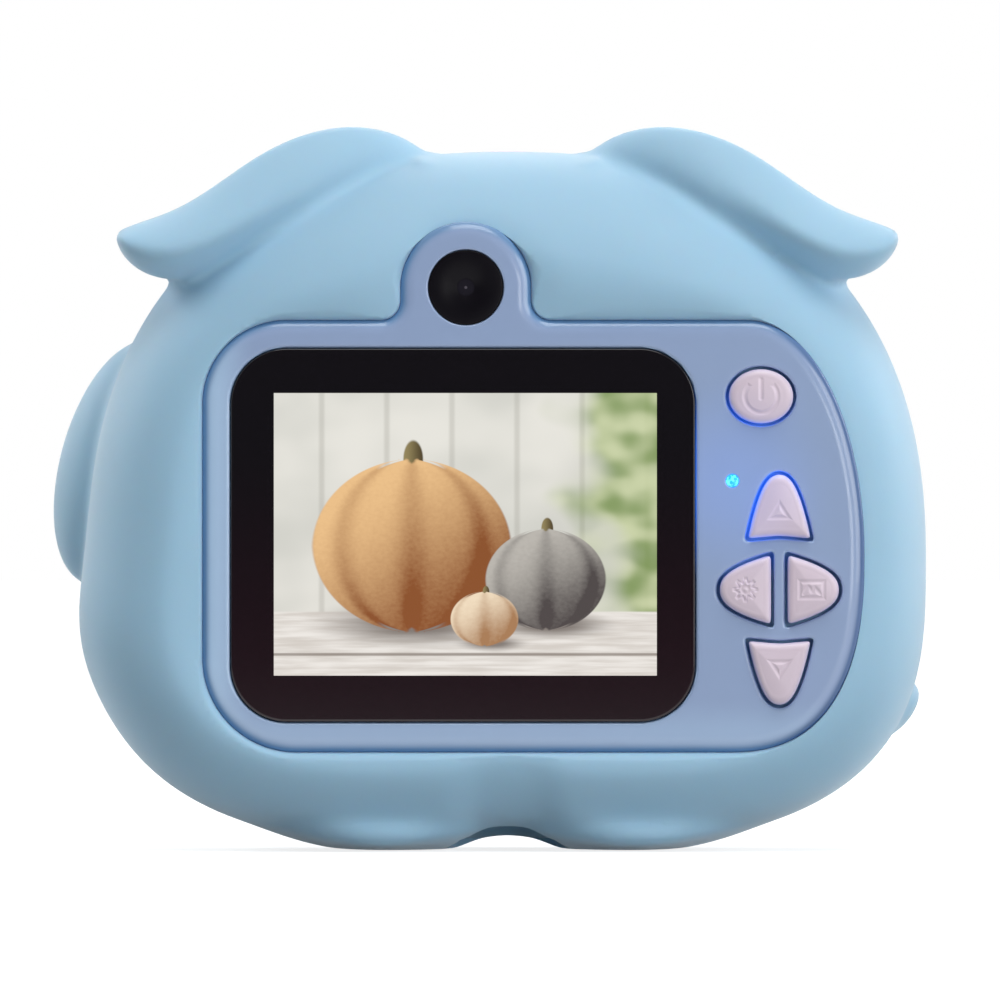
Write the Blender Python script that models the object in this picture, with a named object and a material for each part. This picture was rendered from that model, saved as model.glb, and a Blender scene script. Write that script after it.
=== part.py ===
"""Kids digital camera: a hard two-part case in a soft animal-shaped sleeve, rear screen towards -Y.

X runs to the right as the screen is seen, Y runs from the screen to the main lens, Z is up.
The origin is at the bottom centre of the whole camera, on the surface that its feet stand on.
Sizes below are measured from the camera's own axis, which the ears and feet are symmetric about.
"""

import math

import bmesh
import bpy
import numpy as np

MM = 0.001

# Fits shared by every piece
FIT_GAP = 0.3 * MM
FACE_GAP = 0.3 * MM
EMBED = 0.5 * MM
OVERCUT = 2.0 * MM

# Soft sleeve: body outline seen from behind, its depth profile, and the lips round the panel
BODY_DROP = 30.8 * MM
BODY_LIFT = 0.1 * MM
UPPER_ROUNDNESS = 2.36
LOWER_ROUNDNESS = 2.97
CLEFT_RISE = 1.4 * MM
CLEFT_HALF_WIDTH = 5.0 * MM
HAUNCH_SWELL = 1.2 * MM
HAUNCH_HEIGHT = 23.5 * MM
HAUNCH_SPREAD = 9.0 * MM
SLEEVE_REAR = 16.0 * MM
SLEEVE_FRONT = 18.0 * MM
REAR_ROUNDNESS = 5.0
FRONT_ROUNDNESS = 4.0
SLEEVE_WALL = 4.3 * MM
LIP_THICKNESS = 3.1 * MM
FRONT_THICKNESS = 5.4 * MM
LIP_RIGHT = 7.0 * MM
LIP_TOP = 7.85 * MM
LIP_BOTTOM = 10.6 * MM

# Ears: a spine in the plane of the screen, counted from the top of the body, and the flesh along it
EAR_ROOT = (-8.9 * MM, -3.2 * MM)
EAR_CREST = (-22.1 * MM, 6.9 * MM)
EAR_BEND = (-30.2 * MM, -16.2 * MM)
EAR_TIP = (-41.5 * MM, -8.6 * MM)
EAR_DEPTH_CENTRE = -2.5 * MM
EAR_HALF_WIDTH = 4.2 * MM
EAR_HALF_DEPTH = 10.5 * MM
EAR_TIP_SHARE = 0.55
EAR_ROOT_THINNING = 0.75
EAR_END = 0.96

# Feet, side paw, tail and muzzle of the sleeve; slices are given as shares of the height and of the width
FOOT_SLICES = ((0.0, 0.62), (0.06, 0.82), (0.16, 0.94), (0.35, 1.0), (0.65, 0.97), (1.0, 0.8))
FOOT_SPACING = 29.4 * MM
FOOT_HALF_WIDTH = 9.6 * MM
FOOT_HALF_DEPTH = 13.4 * MM
FOOT_HEIGHT = 7.0 * MM
FOOT_DEPTH_CENTRE = -0.5 * MM
PAW_SINK = 3.0 * MM
PAW_DEPTH_CENTRE = 7.5 * MM
PAW_RISE = 10.7 * MM
PAW_HALF_SIZE = (6.3 * MM, 7.5 * MM, 13.5 * MM)
PAW_TILT = math.radians(-15.4)
TAIL_SINK = 2.8 * MM
TAIL_DEPTH_CENTRE = 4.0 * MM
TAIL_HEIGHT = 14.6 * MM
TAIL_HALF_SIZE = (1.7 * MM, 3.2 * MM, 3.6 * MM)
TAIL_TILT = math.radians(-38.0)
MUZZLE_SLICES = ((0.35, 1.0), (0.55, 0.99), (0.78, 0.94), (0.93, 0.85), (1.0, 0.72))
MUZZLE_HEIGHT = 35.5 * MM
MUZZLE_HALF_WIDTH = 18.5 * MM
MUZZLE_HALF_HEIGHT = 14.5 * MM
MUZZLE_REACH = 24.0 * MM

# Hard case
CASE_WALL = 1.8 * MM
CASE_EDGE_RADIUS = 4.0 * MM

# Raised rear panel, in the opening of the sleeve: the screen at the left, the keys at the right
SCREEN_MARGIN_LEFT = 3.05 * MM
SCREEN_MARGIN_TOP = 3.05 * MM
SCREEN_MARGIN_BOTTOM = 3.25 * MM
KEY_SCREEN_GAP = 2.175 * MM
KEY_MARGIN_RIGHT = 2.225 * MM
PANEL_TOP_LEFT_RADIUS = 8.9 * MM
PANEL_BOTTOM_LEFT_RADIUS = 10.0 * MM
PANEL_WIDEST_RISE = 20.9 * MM
PANEL_UPPER_CURVE = 12.6 * MM
PANEL_LOWER_CURVE = 14.5 * MM
PANEL_UPPER_ROUNDNESS = 2.05
PANEL_LOWER_ROUNDNESS = 2.5
PANEL_PROUD = 2.1 * MM
PANEL_WALL = 2.4 * MM
PANEL_BEVEL_DEPTH = 1.1 * MM
PANEL_BEVEL_WIDTH = 1.7 * MM
PANEL_BEVEL_STEPS = ((0.0, 1.0), (0.45, 0.3), (1.0, 0.0))
PANEL_RIM = 1.8 * MM
BUMP_RIM = 3.0 * MM
BUMP_FILLET = 2.1 * MM

# Screen: the lit picture, and the black window with its borders round it
SCREEN_OFFSET = -4.75 * MM
PICTURE_WIDTH = 40.8 * MM
PICTURE_HEIGHT = 30.1 * MM
PICTURE_MARGIN = 1.0 * MM
WINDOW_BORDER_LEFT = 4.55 * MM
WINDOW_BORDER_RIGHT = 4.05 * MM
WINDOW_BORDER_TOP = 4.7 * MM
WINDOW_BORDER_BOTTOM = 4.9 * MM
WINDOW_RADIUS = 5.9 * MM
WINDOW_THICKNESS = 1.3 * MM
WINDOW_PROUD = 0.2 * MM
WINDOW_CHAMFER = 0.25 * MM
LCD_SIDE_BORDER = 3.4 * MM
LCD_EDGE_BORDER = 2.2 * MM
LCD_THICKNESS = 1.5 * MM
BACKLIGHT_THICKNESS = 0.9 * MM
LCD_RIB = 1.0 * MM

# Small rear camera above the screen
SELFIE_OFFSET = 0.3 * MM
SELFIE_RISE = 3.5 * MM
SELFIE_WINDOW_RADIUS = 3.95 * MM
SELFIE_WINDOW_THICKNESS = 1.0 * MM
SELFIE_APERTURE_RADIUS = 2.6 * MM
SELFIE_BARREL_RADIUS = 3.0 * MM
SELFIE_BARREL_LENGTH = 3.4 * MM
SELFIE_BORE_REAR_RADIUS = 1.8 * MM
SELFIE_BORE_FRONT_RADIUS = 0.9 * MM
SELFIE_COLLAR_WALL = 1.0 * MM
SELFIE_BOARD_SIDE = 9.0 * MM

# Keys on the panel
KEY_GAP = 0.5 * MM
KEY_PROUD = 1.0 * MM
KEY_CROWN = 0.75 * MM
CROWN_STEPS = ((1.3, 0.0), (0.5, 0.25), (0.0, 1.0))
KEY_CORNER = 0.9 * MM
KEY_TRAVEL = 0.5 * MM
KEY_FLANGE = 0.7 * MM
KEY_FLANGE_LIP = 0.2 * MM
KEY_STEM = 1.0 * MM
KEY_STEM_RADIUS = 1.2 * MM
KEY_PETAL_POWER = 2.5
POWER_INSET = 11.0 * MM
POWER_DROP = 8.1 * MM
POWER_HALF_WIDTH = 3.85 * MM
POWER_HALF_HEIGHT = 3.3 * MM
PAD_RISE = 17.3 * MM
PAD_WEB = 0.75 * MM
PAD_SPLIT = 0.95 * MM
ARROW_KEY_OFFSET = 5.0 * MM
ARROW_KEY_HALF_BASE = 3.85 * MM
ARROW_KEY_LENGTH = 7.75 * MM
ARROW_KEY_HOLLOW = 0.35 * MM
SIDE_KEY_LENGTH = 6.35 * MM

# Main board and what is soldered to it
BOARD_THICKNESS = 1.2 * MM
BOARD_EDGE_GAP = 1.2 * MM
BOARD_FOOT_GAP = 4.9 * MM
BOARD_HEAD_GAP = 5.1 * MM
SWITCH_SIDE = 4.2 * MM
SWITCH_HEIGHT = 1.6 * MM
SWITCH_CORNER_RADIUS = 0.525 * MM
PLUNGER_RADIUS = 0.9 * MM
PLUNGER_HEIGHT = 0.5 * MM
PLUNGER_SLACK = 0.1 * MM
LED_OFFSET = 4.0 * MM
LED_RISE = 11.6 * MM
LED_PIPE_RADIUS = 0.7 * MM
LED_PIPE_FLANGE_RADIUS = 1.3 * MM
LED_SIDE = 1.6 * MM
LED_HEIGHT = 0.8 * MM
CHIP_REACH = 15.0 * MM
CHIP_DROP = 11.6 * MM
CHIP_SIDE = 10.0 * MM
CHIP_HEIGHT = 1.2 * MM
MICROPHONE_INSET = (11.6 * MM, 5.4 * MM)
MICROPHONE_RADIUS = 2.0 * MM
MICROPHONE_HEIGHT = 1.5 * MM
USB_WIDTH = 7.8 * MM
USB_HEIGHT = 3.0 * MM
USB_LENGTH = 5.6 * MM
USB_SHELL = 0.4 * MM
USB_TONGUE = 0.6 * MM
USB_CORNER_RADIUS = 0.6 * MM
USB_PLUG_WIDTH = 11.0 * MM
USB_PLUG_HEIGHT = 6.6 * MM
USB_PLUG_RADIUS = 1.65 * MM
CARD_SOCKET_WIDTH = 13.0 * MM
CARD_SOCKET_LENGTH = 14.0 * MM
CARD_SOCKET_HEIGHT = 1.9 * MM
CARD_SOCKET_DROP = 9.6 * MM
CARD_SLOT_WIDTH = 11.4 * MM
CARD_SLOT_HEIGHT = 1.0 * MM
CARD_SLOT_DEPTH = 10.0 * MM

# Fasteners and their posts
CASE_POST_RADIUS = 2.5 * MM
UPPER_POST_INSET = (26.5 * MM, 8.8 * MM)
LOWER_POST_INSET = (23.0 * MM, 7.2 * MM)
CASE_SCREW_RADIUS = 0.95 * MM
CASE_SCREW_HEAD_RADIUS = 1.8 * MM
CASE_SCREW_HEAD_HEIGHT = 1.3 * MM
CASE_SCREW_LENGTH = 10.0 * MM
CASE_SCREW_SEAT = 5.0 * MM
BOARD_POST_RADIUS = 1.7 * MM
BOARD_SCREW_RADIUS = 0.7 * MM
BOARD_SCREW_HEAD_RADIUS = 1.5 * MM
BOARD_SCREW_HEAD_HEIGHT = 1.0 * MM
BOARD_SCREW_LENGTH = 3.6 * MM
BOARD_POST_INSET = 3.2 * MM
LOW_LEFT_POST_RISE = 12.4 * MM
TOP_LEFT_POST_CARD_GAP = 3.0 * MM
LOW_RIGHT_POST_INSET = (4.4 * MM, 6.3 * MM)
TOP_RIGHT_POST_INSET = (4.0 * MM, 12.2 * MM)

# Shutter key on top, between the ears
SHUTTER_DEPTH = 4.8 * MM
SHUTTER_HALF_WIDTH = 3.5 * MM
SHUTTER_HALF_DEPTH = 2.7 * MM
SHUTTER_GAP = 0.3 * MM
SHUTTER_SINK = 0.4 * MM
SHUTTER_CROWN = 0.6 * MM
SHUTTER_FLANGE = 1.0 * MM
SHUTTER_FLANGE_LIP = 0.9 * MM
SHUTTER_STEM = 1.6 * MM
SHUTTER_TRAVEL = 0.8 * MM
SHUTTER_BOARD_WIDTH = 15.0 * MM
SHUTTER_BOARD_DEPTH = 7.0 * MM
SHUTTER_LEDGE_WIDTH = 2.2 * MM
SHUTTER_LEDGE_HEIGHT = 1.4 * MM

# Main camera in the muzzle
LENS_COLLAR_RADIUS = 8.2 * MM
LENS_COLLAR_WALL = 1.3 * MM
LENS_COLLAR_SINK = 2.5 * MM
LENS_COLLAR_REAR = 3.0 * MM
LENS_RING_RADIUS = 9.3 * MM
LENS_RING_OPENING = 5.4 * MM
LENS_RING_FLANGE = 1.5 * MM
LENS_RING_SPIGOT = 1.6 * MM
LENS_RING_SPIGOT_WALL = 0.7 * MM
LENS_GLASS_THICKNESS = 1.2 * MM
LENS_GLASS_BEVEL_DEPTH = 0.48 * MM
LENS_GLASS_BEVEL_WIDTH = 2.64 * MM
LENS_BARREL_BORE = 3.2 * MM
LENS_BARREL_MOUTH = 5.0 * MM
LENS_BARREL_MOUTH_DEPTH = 2.4 * MM
LENS_SLEEVE_GAP = 0.4 * MM
SENSOR_BOARD_SIDE = 15.0 * MM
SENSOR_BOARD_THICKNESS = 1.0 * MM
SENSOR_SIDE = 4.2 * MM
SENSOR_HEIGHT = 0.9 * MM

# Battery and speaker, both held by ribs on the front case
BATTERY_SIDE_GAP = 7.6 * MM
BATTERY_LEVEL = 34.0 * MM
BATTERY_WIDTH = 20.0 * MM
BATTERY_HEIGHT = 28.0 * MM
BATTERY_THICKNESS = 5.6 * MM
BATTERY_RADIUS = 2.0 * MM
CRADLE_RIB = 1.0 * MM
CRADLE_HEIGHT = 3.6 * MM
SPEAKER_SIDE_GAP = 7.6 * MM
SPEAKER_LEVEL = 29.0 * MM
SPEAKER_RADIUS = 7.5 * MM
SPEAKER_THICKNESS = 3.6 * MM
SPEAKER_MAGNET_RADIUS = 4.1 * MM
SPEAKER_RIM = 1.6 * MM
SOUND_HOLE_RADIUS = 0.8 * MM
SOUND_HOLE_CIRCLE = 3.6 * MM
SOUND_HOLES = 6

# Ribbons and leads
RIBBON_THICKNESS = 0.3 * MM
FRONT_RIBBON_WIDTH = 6.0 * MM
FRONT_RIBBON_DROP = 5.25 * MM
FRONT_RIBBON_RISE = 3.0 * MM
FRONT_RIBBON_LOOP = 9.0 * MM
SELFIE_RIBBON_WIDTH = 4.0 * MM
LEAD_RADIUS = 0.6 * MM
LEAD_SPACING = 2.4 * MM
LEAD_START_DROP = 8.4 * MM

# Facets
BODY_SIDES = 56
BODY_LEANS = (-85, -76, -66, -54, -40, -22, 0, 22, 40, 54, 66, 76, 85)
EAR_SECTIONS = 12
FLESH_SIDES = 16
PAW_RINGS = 8
TAIL_RINGS = 6
ROUND_SIDES = 20
SMALL_SIDES = 12
TINY_SIDES = 8
CORNER_STEPS = 4
PETAL_STEPS = 12
EDGE_LEANS = (0, 30, 60, 90)
SMALL_CORNER_STEPS = 2
RIBBON_STEPS = np.linspace(0, 1, 9)
LEAD_STEPS = np.linspace(0, 0.9, 10)

# Places that follow from the sizes above: the screen, the panel and keys round it, the body round those
WINDOW_WIDTH = WINDOW_BORDER_LEFT + PICTURE_WIDTH + WINDOW_BORDER_RIGHT
WINDOW_HEIGHT = WINDOW_BORDER_BOTTOM + PICTURE_HEIGHT + WINDOW_BORDER_TOP
WINDOW_LEFT = SCREEN_OFFSET - WINDOW_WIDTH / 2
WINDOW_RIGHT = SCREEN_OFFSET + WINDOW_WIDTH / 2
PANEL_LEFT = WINDOW_LEFT - SCREEN_MARGIN_LEFT
PANEL_BOTTOM = BODY_LIFT + LIP_BOTTOM
WINDOW_BOTTOM = PANEL_BOTTOM + SCREEN_MARGIN_BOTTOM
PANEL_TOP = WINDOW_BOTTOM + WINDOW_HEIGHT + SCREEN_MARGIN_TOP
PANEL_WIDEST_Z = PANEL_BOTTOM + PANEL_WIDEST_RISE
WINDOW_CENTRE = (SCREEN_OFFSET, WINDOW_BOTTOM + WINDOW_HEIGHT / 2)
PICTURE_CENTRE = (
    WINDOW_LEFT + WINDOW_BORDER_LEFT + PICTURE_WIDTH / 2,
    WINDOW_BOTTOM + WINDOW_BORDER_BOTTOM + PICTURE_HEIGHT / 2,
)
PAD_HALF_WIDTH = PAD_SPLIT / 2 + SIDE_KEY_LENGTH
PAD_CENTRE = (WINDOW_RIGHT + KEY_SCREEN_GAP + PAD_HALF_WIDTH, PANEL_BOTTOM + PAD_RISE)
PANEL_RIGHT = PAD_CENTRE[0] + PAD_HALF_WIDTH + KEY_MARGIN_RIGHT
POWER_CENTRE = (PANEL_RIGHT - POWER_INSET, PANEL_TOP - POWER_DROP)
LED_CENTRE = (WINDOW_RIGHT + LED_OFFSET, PAD_CENTRE[1] + LED_RISE)
BUMP_RADIUS = SELFIE_WINDOW_RADIUS + BUMP_RIM
SELFIE_CENTRE = (SCREEN_OFFSET + SELFIE_OFFSET, PANEL_TOP + SELFIE_RISE)
BODY_HALF_WIDTH = PANEL_RIGHT + LIP_RIGHT
SLEEVE_TOP = SELFIE_CENTRE[1] + BUMP_RADIUS + LIP_TOP
WIDEST_Z = BODY_LIFT + BODY_DROP
BODY_RISE = SLEEVE_TOP - WIDEST_Z
PAW_CENTRE = (PAW_SINK - BODY_HALF_WIDTH, PAW_DEPTH_CENTRE, WIDEST_Z + PAW_RISE)
TAIL_CENTRE = (BODY_HALF_WIDTH - TAIL_SINK, TAIL_DEPTH_CENTRE, TAIL_HEIGHT)
CASE_INSET = SLEEVE_WALL + FIT_GAP
CASE_REAR = -(SLEEVE_REAR - LIP_THICKNESS - FIT_GAP)
CASE_FRONT = SLEEVE_FRONT - FRONT_THICKNESS - FIT_GAP
CASE_TOP = SLEEVE_TOP - CASE_INSET
CASE_BOTTOM = BODY_LIFT + CASE_INSET
INNER_REAR = CASE_REAR + CASE_WALL
INNER_FRONT = CASE_FRONT - CASE_WALL
INNER_HALF_WIDTH = BODY_HALF_WIDTH - CASE_INSET - CASE_WALL
PARTING = FACE_GAP / 2
PANEL_FACE = CASE_REAR - PANEL_PROUD
PANEL_BACK = PANEL_FACE + PANEL_WALL
WINDOW_FRONT = PANEL_FACE - WINDOW_PROUD
WINDOW_BACK = WINDOW_FRONT + WINDOW_THICKNESS
WINDOW_SEAT = WINDOW_BACK + FACE_GAP
LCD_FRONT = PANEL_BACK + FACE_GAP
LCD_BACK = LCD_FRONT + LCD_THICKNESS
BACKLIGHT_FRONT = LCD_BACK + FACE_GAP
BACKLIGHT_BACK = BACKLIGHT_FRONT + BACKLIGHT_THICKNESS
LCD_WIDTH = PICTURE_WIDTH + 2 * LCD_SIDE_BORDER
LCD_HEIGHT = PICTURE_HEIGHT + 2 * LCD_EDGE_BORDER
KEY_TOP = PANEL_FACE - KEY_PROUD
KEY_FLANGE_FRONT = PANEL_BACK + FACE_GAP
KEY_FLANGE_BACK = KEY_FLANGE_FRONT + KEY_FLANGE
KEY_STEM_END = KEY_FLANGE_BACK + KEY_STEM
PLUNGER_TIP = KEY_STEM_END + KEY_TRAVEL + PLUNGER_SLACK
SWITCH_FRONT = PLUNGER_TIP + PLUNGER_HEIGHT
SWITCH_BACK = SWITCH_FRONT + SWITCH_HEIGHT
BOARD_REAR = SWITCH_BACK + FACE_GAP
BOARD_FRONT = BOARD_REAR + BOARD_THICKNESS
PARTS_REAR = BOARD_FRONT + FACE_GAP
BOARD_BOTTOM = CASE_BOTTOM + BOARD_FOOT_GAP
BOARD_TOP = PANEL_TOP - BOARD_HEAD_GAP
CHIP_CENTRE = (CHIP_REACH, BOARD_TOP - CHIP_DROP)
MICROPHONE_CENTRE = (INNER_HALF_WIDTH - MICROPHONE_INSET[0], BOARD_BOTTOM + MICROPHONE_INSET[1])
CARD_SOCKET_CENTRE_Z = BOARD_TOP - CARD_SOCKET_DROP
CARD_SOCKET_BOTTOM = CARD_SOCKET_CENTRE_Z - CARD_SOCKET_WIDTH / 2
LENS_COLLAR_FRONT = MUZZLE_REACH - LENS_COLLAR_SINK
LENS_COLLAR_BORE = LENS_COLLAR_RADIUS - LENS_COLLAR_WALL
LENS_BARREL_RADIUS = LENS_COLLAR_BORE - FIT_GAP
LENS_RING_FRONT = LENS_COLLAR_FRONT + FACE_GAP + LENS_RING_FLANGE
LENS_GLASS_FRONT = LENS_COLLAR_FRONT + FACE_GAP - LENS_RING_SPIGOT - FACE_GAP
LENS_GLASS_BACK = LENS_GLASS_FRONT - LENS_GLASS_THICKNESS
LENS_BARREL_FRONT = LENS_GLASS_BACK - FACE_GAP
SENSOR_BOARD_FRONT = LENS_COLLAR_REAR - FACE_GAP
SENSOR_BOARD_REAR = SENSOR_BOARD_FRONT - SENSOR_BOARD_THICKNESS
MUZZLE_CENTRE = (0.0, MUZZLE_HEIGHT)
LENS_HOLE_RADIUS = LENS_RING_RADIUS + LENS_SLEEVE_GAP
SHUTTER_TOP = SLEEVE_TOP - SHUTTER_SINK
SHUTTER_FLANGE_TOP = CASE_TOP - CASE_WALL - FACE_GAP
SHUTTER_STEM_END = SHUTTER_FLANGE_TOP - SHUTTER_FLANGE - SHUTTER_STEM
SHUTTER_PLUNGER_TIP = SHUTTER_STEM_END - SHUTTER_TRAVEL - PLUNGER_SLACK
SHUTTER_SWITCH_TOP = SHUTTER_PLUNGER_TIP - PLUNGER_HEIGHT
SHUTTER_BOARD_TOP = SHUTTER_SWITCH_TOP - SWITCH_HEIGHT - FACE_GAP
SHUTTER_BOARD_BOTTOM = SHUTTER_BOARD_TOP - BOARD_THICKNESS
SHUTTER_LEDGE_TOP = SHUTTER_BOARD_BOTTOM - FACE_GAP
BATTERY_CENTRE = (BATTERY_SIDE_GAP + BATTERY_WIDTH / 2 - INNER_HALF_WIDTH, BATTERY_LEVEL)
BATTERY_FRONT = INNER_FRONT - FACE_GAP
BATTERY_REAR = BATTERY_FRONT - BATTERY_THICKNESS
SPEAKER_CENTRE = (INNER_HALF_WIDTH - SPEAKER_SIDE_GAP - SPEAKER_RADIUS, SPEAKER_LEVEL)
SPEAKER_FRONT = INNER_FRONT - FACE_GAP
SELFIE_WINDOW_BACK = PANEL_FACE + SELFIE_WINDOW_THICKNESS
SELFIE_BARREL_REAR = PANEL_BACK + SELFIE_BARREL_LENGTH
SELFIE_BOARD_REAR = SELFIE_BARREL_REAR + FACE_GAP
USB_Z = CASE_BOTTOM + CASE_WALL / 2
USB_CENTRE_Y = PARTS_REAR + USB_HEIGHT / 2
UPPER_POST = (BODY_HALF_WIDTH - UPPER_POST_INSET[0], CASE_TOP - UPPER_POST_INSET[1])
LOWER_POST = (BODY_HALF_WIDTH - LOWER_POST_INSET[0], CASE_BOTTOM + LOWER_POST_INSET[1])
CASE_POSTS = [(side * x, z) for x, z in (UPPER_POST, LOWER_POST) for side in (-1, 1)]
LOW_RIGHT_BOARD_POST = (PANEL_RIGHT - LOW_RIGHT_POST_INSET[0], PANEL_BOTTOM + LOW_RIGHT_POST_INSET[1])
TOP_RIGHT_BOARD_POST = (PANEL_RIGHT - TOP_RIGHT_POST_INSET[0], PANEL_TOP - TOP_RIGHT_POST_INSET[1])


# Scene and materials

def clear_scene():
    for old in list(bpy.data.objects):
        bpy.data.objects.remove(old)


def material(name, colour, roughness, metallic=0.0):
    made = bpy.data.materials.new(name)
    made.use_nodes = True
    shader = made.node_tree.nodes["Principled BSDF"]
    shader.inputs["Base Color"].default_value = (*colour, 1.0)
    shader.inputs["Roughness"].default_value = roughness
    shader.inputs["Metallic"].default_value = metallic
    made.diffuse_color = (*colour, 1.0)
    return made


clear_scene()
SILICONE = material("silicone_blue", (0.42, 0.66, 0.80), 0.55)
PANEL_PLASTIC = material("panel_blue", (0.27, 0.38, 0.62), 0.22)
CASE_PLASTIC = material("case_blue", (0.36, 0.52, 0.72), 0.4)
KEY_PLASTIC = material("key_pink", (0.66, 0.58, 0.68), 0.35)
BLACK_GLOSS = material("black_acrylic", (0.008, 0.007, 0.012), 0.06)
BLACK_MATTE = material("black_plastic", (0.02, 0.02, 0.022), 0.5)
GLASS = material("lens_glass", (0.05, 0.06, 0.09), 0.05)
PICTURE = material("display", (0.55, 0.52, 0.46), 0.3)
LED_LENS = material("led_cyan", (0.03, 0.72, 0.9), 0.2)
BOARD_GREEN = material("circuit_board", (0.03, 0.16, 0.07), 0.45)
STEEL = material("steel", (0.6, 0.6, 0.62), 0.3, 1.0)
CELL_WRAP = material("battery_wrap", (0.62, 0.64, 0.66), 0.4)
RIBBON_FILM = material("ribbon_film", (0.55, 0.24, 0.04), 0.4)
LEAD_RED = material("lead_red", (0.5, 0.02, 0.02), 0.45)


# Outlines in the plane of the screen, as (x, z) points running anticlockwise as seen from behind

def egg(half_width, rise, drop, sides=BODY_SIDES):
    """A round body outline, blunter below its widest level than above it."""
    turn = np.arange(sides) * 2 * math.pi / sides
    across, up = np.cos(turn), np.sin(turn)
    above = up >= 0
    power = np.where(above, UPPER_ROUNDNESS, LOWER_ROUNDNESS)
    reach = np.where(above, rise, drop)
    radius = ((abs(across) / half_width) ** power + (abs(up) / reach) ** power) ** (-1 / power)
    return np.column_stack([radius * across, WIDEST_Z + radius * up])


def case_outline(inset=0.0):
    """The hard case's outline: the body's, less the sleeve's wall and the inset given."""
    less = CASE_INSET + inset
    return egg(BODY_HALF_WIDTH - less, BODY_RISE - less, BODY_DROP - less)


def arc(centre, radius, start, end, steps=CORNER_STEPS):
    """Points of a round stretch, angles in degrees."""
    turn = np.radians(np.linspace(start, end, steps + 1))
    return np.column_stack([centre[0] + radius * np.cos(turn), centre[1] + radius * np.sin(turn)])


def quadrant(centre, reach, power, start, steps=2 * CORNER_STEPS):
    """A quarter of a superellipse that starts at the angle given, in degrees."""
    turn = np.radians(np.linspace(start, start + 90, steps + 1))
    across, up = np.cos(turn), np.sin(turn)
    radius = ((abs(across) / reach[0]) ** power + (abs(up) / reach[1]) ** power) ** (-1 / power)
    return np.column_stack([centre[0] + radius * across, centre[1] + radius * up])


def oval(centre, half_width, half_height, sides=ROUND_SIDES):
    turn = np.arange(sides) * 2 * math.pi / sides
    return np.column_stack([centre[0] + half_width * np.cos(turn), centre[1] + half_height * np.sin(turn)])


def disc(centre, radius, sides=ROUND_SIDES):
    return oval(centre, radius, radius, sides)


def rectangle(centre, width, height, radius=0.0, steps=CORNER_STEPS):
    """A rectangle, with round corners where a radius is given."""
    x, z = width / 2 - radius, height / 2 - radius
    corners = ((x, z, 0), (-x, z, 90), (-x, -z, 180), (x, -z, 270))
    if radius == 0:
        return np.array([(centre[0] + a, centre[1] + b) for a, b, _ in corners])
    return np.vstack([arc((centre[0] + a, centre[1] + b), radius, t, t + 90, steps) for a, b, t in corners])


def offset(outline, distance):
    """The outline moved outwards along its normals."""
    before, after = np.roll(outline, 1, axis=0), np.roll(outline, -1, axis=0)
    edges = []
    for edge in (outline - before, after - outline):
        normal = np.column_stack([edge[:, 1], -edge[:, 0]])
        edges.append(normal / np.linalg.norm(normal, axis=1)[:, None])
    middle = edges[0] + edges[1]
    middle /= np.linalg.norm(middle, axis=1)[:, None]
    stretch = 1 / np.clip((middle * edges[0]).sum(axis=1), 0.5, 1)
    return outline + distance * middle * stretch[:, None]


def shrink(outline, distance):
    """The outline scaled about its middle so that each side comes in by the distance."""
    low, high = outline.min(axis=0), outline.max(axis=0)
    middle, half = (low + high) / 2, (high - low) / 2
    return middle + (outline - middle) * (1 - distance / half)


def round_corner(before, corner, after, radius, steps=CORNER_STEPS):
    """A corner point replaced by a short curve that starts and ends a radius away from it."""
    start = corner + radius * (before - corner) / np.linalg.norm(before - corner)
    end = corner + radius * (after - corner) / np.linalg.norm(after - corner)
    share = np.linspace(0, 1, steps + 1)[:, None]
    return (1 - share) ** 2 * start + 2 * share * (1 - share) * corner + share**2 * end


def petal(half_base, length, hollow):
    """A key outline that stands on its base at the origin: arched sides to a tip, a slightly hollow base."""
    across = half_base * np.cos(np.linspace(0, math.pi, PETAL_STEPS + 1))
    sides = np.column_stack([across, length * (1 - abs(across / half_base) ** KEY_PETAL_POWER)])
    right, left, middle = sides[0], sides[-1], np.array([0.0, hollow])
    low_left = round_corner(sides[-2], left, middle, KEY_CORNER)
    low_right = round_corner(middle, right, sides[1], KEY_CORNER)
    return np.vstack([low_right, sides[2:-2], low_left, middle[None]])


def turned_outline(outline, centre, degrees):
    turn = math.radians(degrees)
    spin = np.array([[math.cos(turn), math.sin(turn)], [-math.sin(turn), math.cos(turn)]])
    return outline @ spin + np.array(centre)


def panel_outline():
    """The raised panel: round corners at the left, a full curve at the right, a bump for the lens on top."""
    upper = (PANEL_RIGHT - PANEL_UPPER_CURVE, PANEL_WIDEST_Z)
    lower = (PANEL_RIGHT - PANEL_LOWER_CURVE, PANEL_WIDEST_Z)
    bump_x, bump_z = SELFIE_CENTRE
    fillet_z = PANEL_TOP + BUMP_FILLET
    fillet_reach = BUMP_RADIUS + BUMP_FILLET
    top_left, low_left = PANEL_TOP_LEFT_RADIUS, PANEL_BOTTOM_LEFT_RADIUS
    return np.vstack([
        quadrant(lower, (PANEL_LOWER_CURVE, PANEL_WIDEST_Z - PANEL_BOTTOM), PANEL_LOWER_ROUNDNESS, -90),
        quadrant(upper, (PANEL_UPPER_CURVE, PANEL_TOP - PANEL_WIDEST_Z), PANEL_UPPER_ROUNDNESS, 0)[1:],
        arc((bump_x + fillet_reach, fillet_z), BUMP_FILLET, 270, 180),
        arc((bump_x, bump_z), BUMP_RADIUS, 0, 180, 3 * CORNER_STEPS),
        arc((bump_x - fillet_reach, fillet_z), BUMP_FILLET, 0, -90),
        arc((PANEL_LEFT + top_left, PANEL_TOP - top_left), top_left, 90, 180),
        arc((PANEL_LEFT + low_left, PANEL_BOTTOM + low_left), low_left, 180, 270),
    ])


# Shapes: lists of steps that each add one closed solid to a bmesh, in metres from the camera's axis

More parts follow.
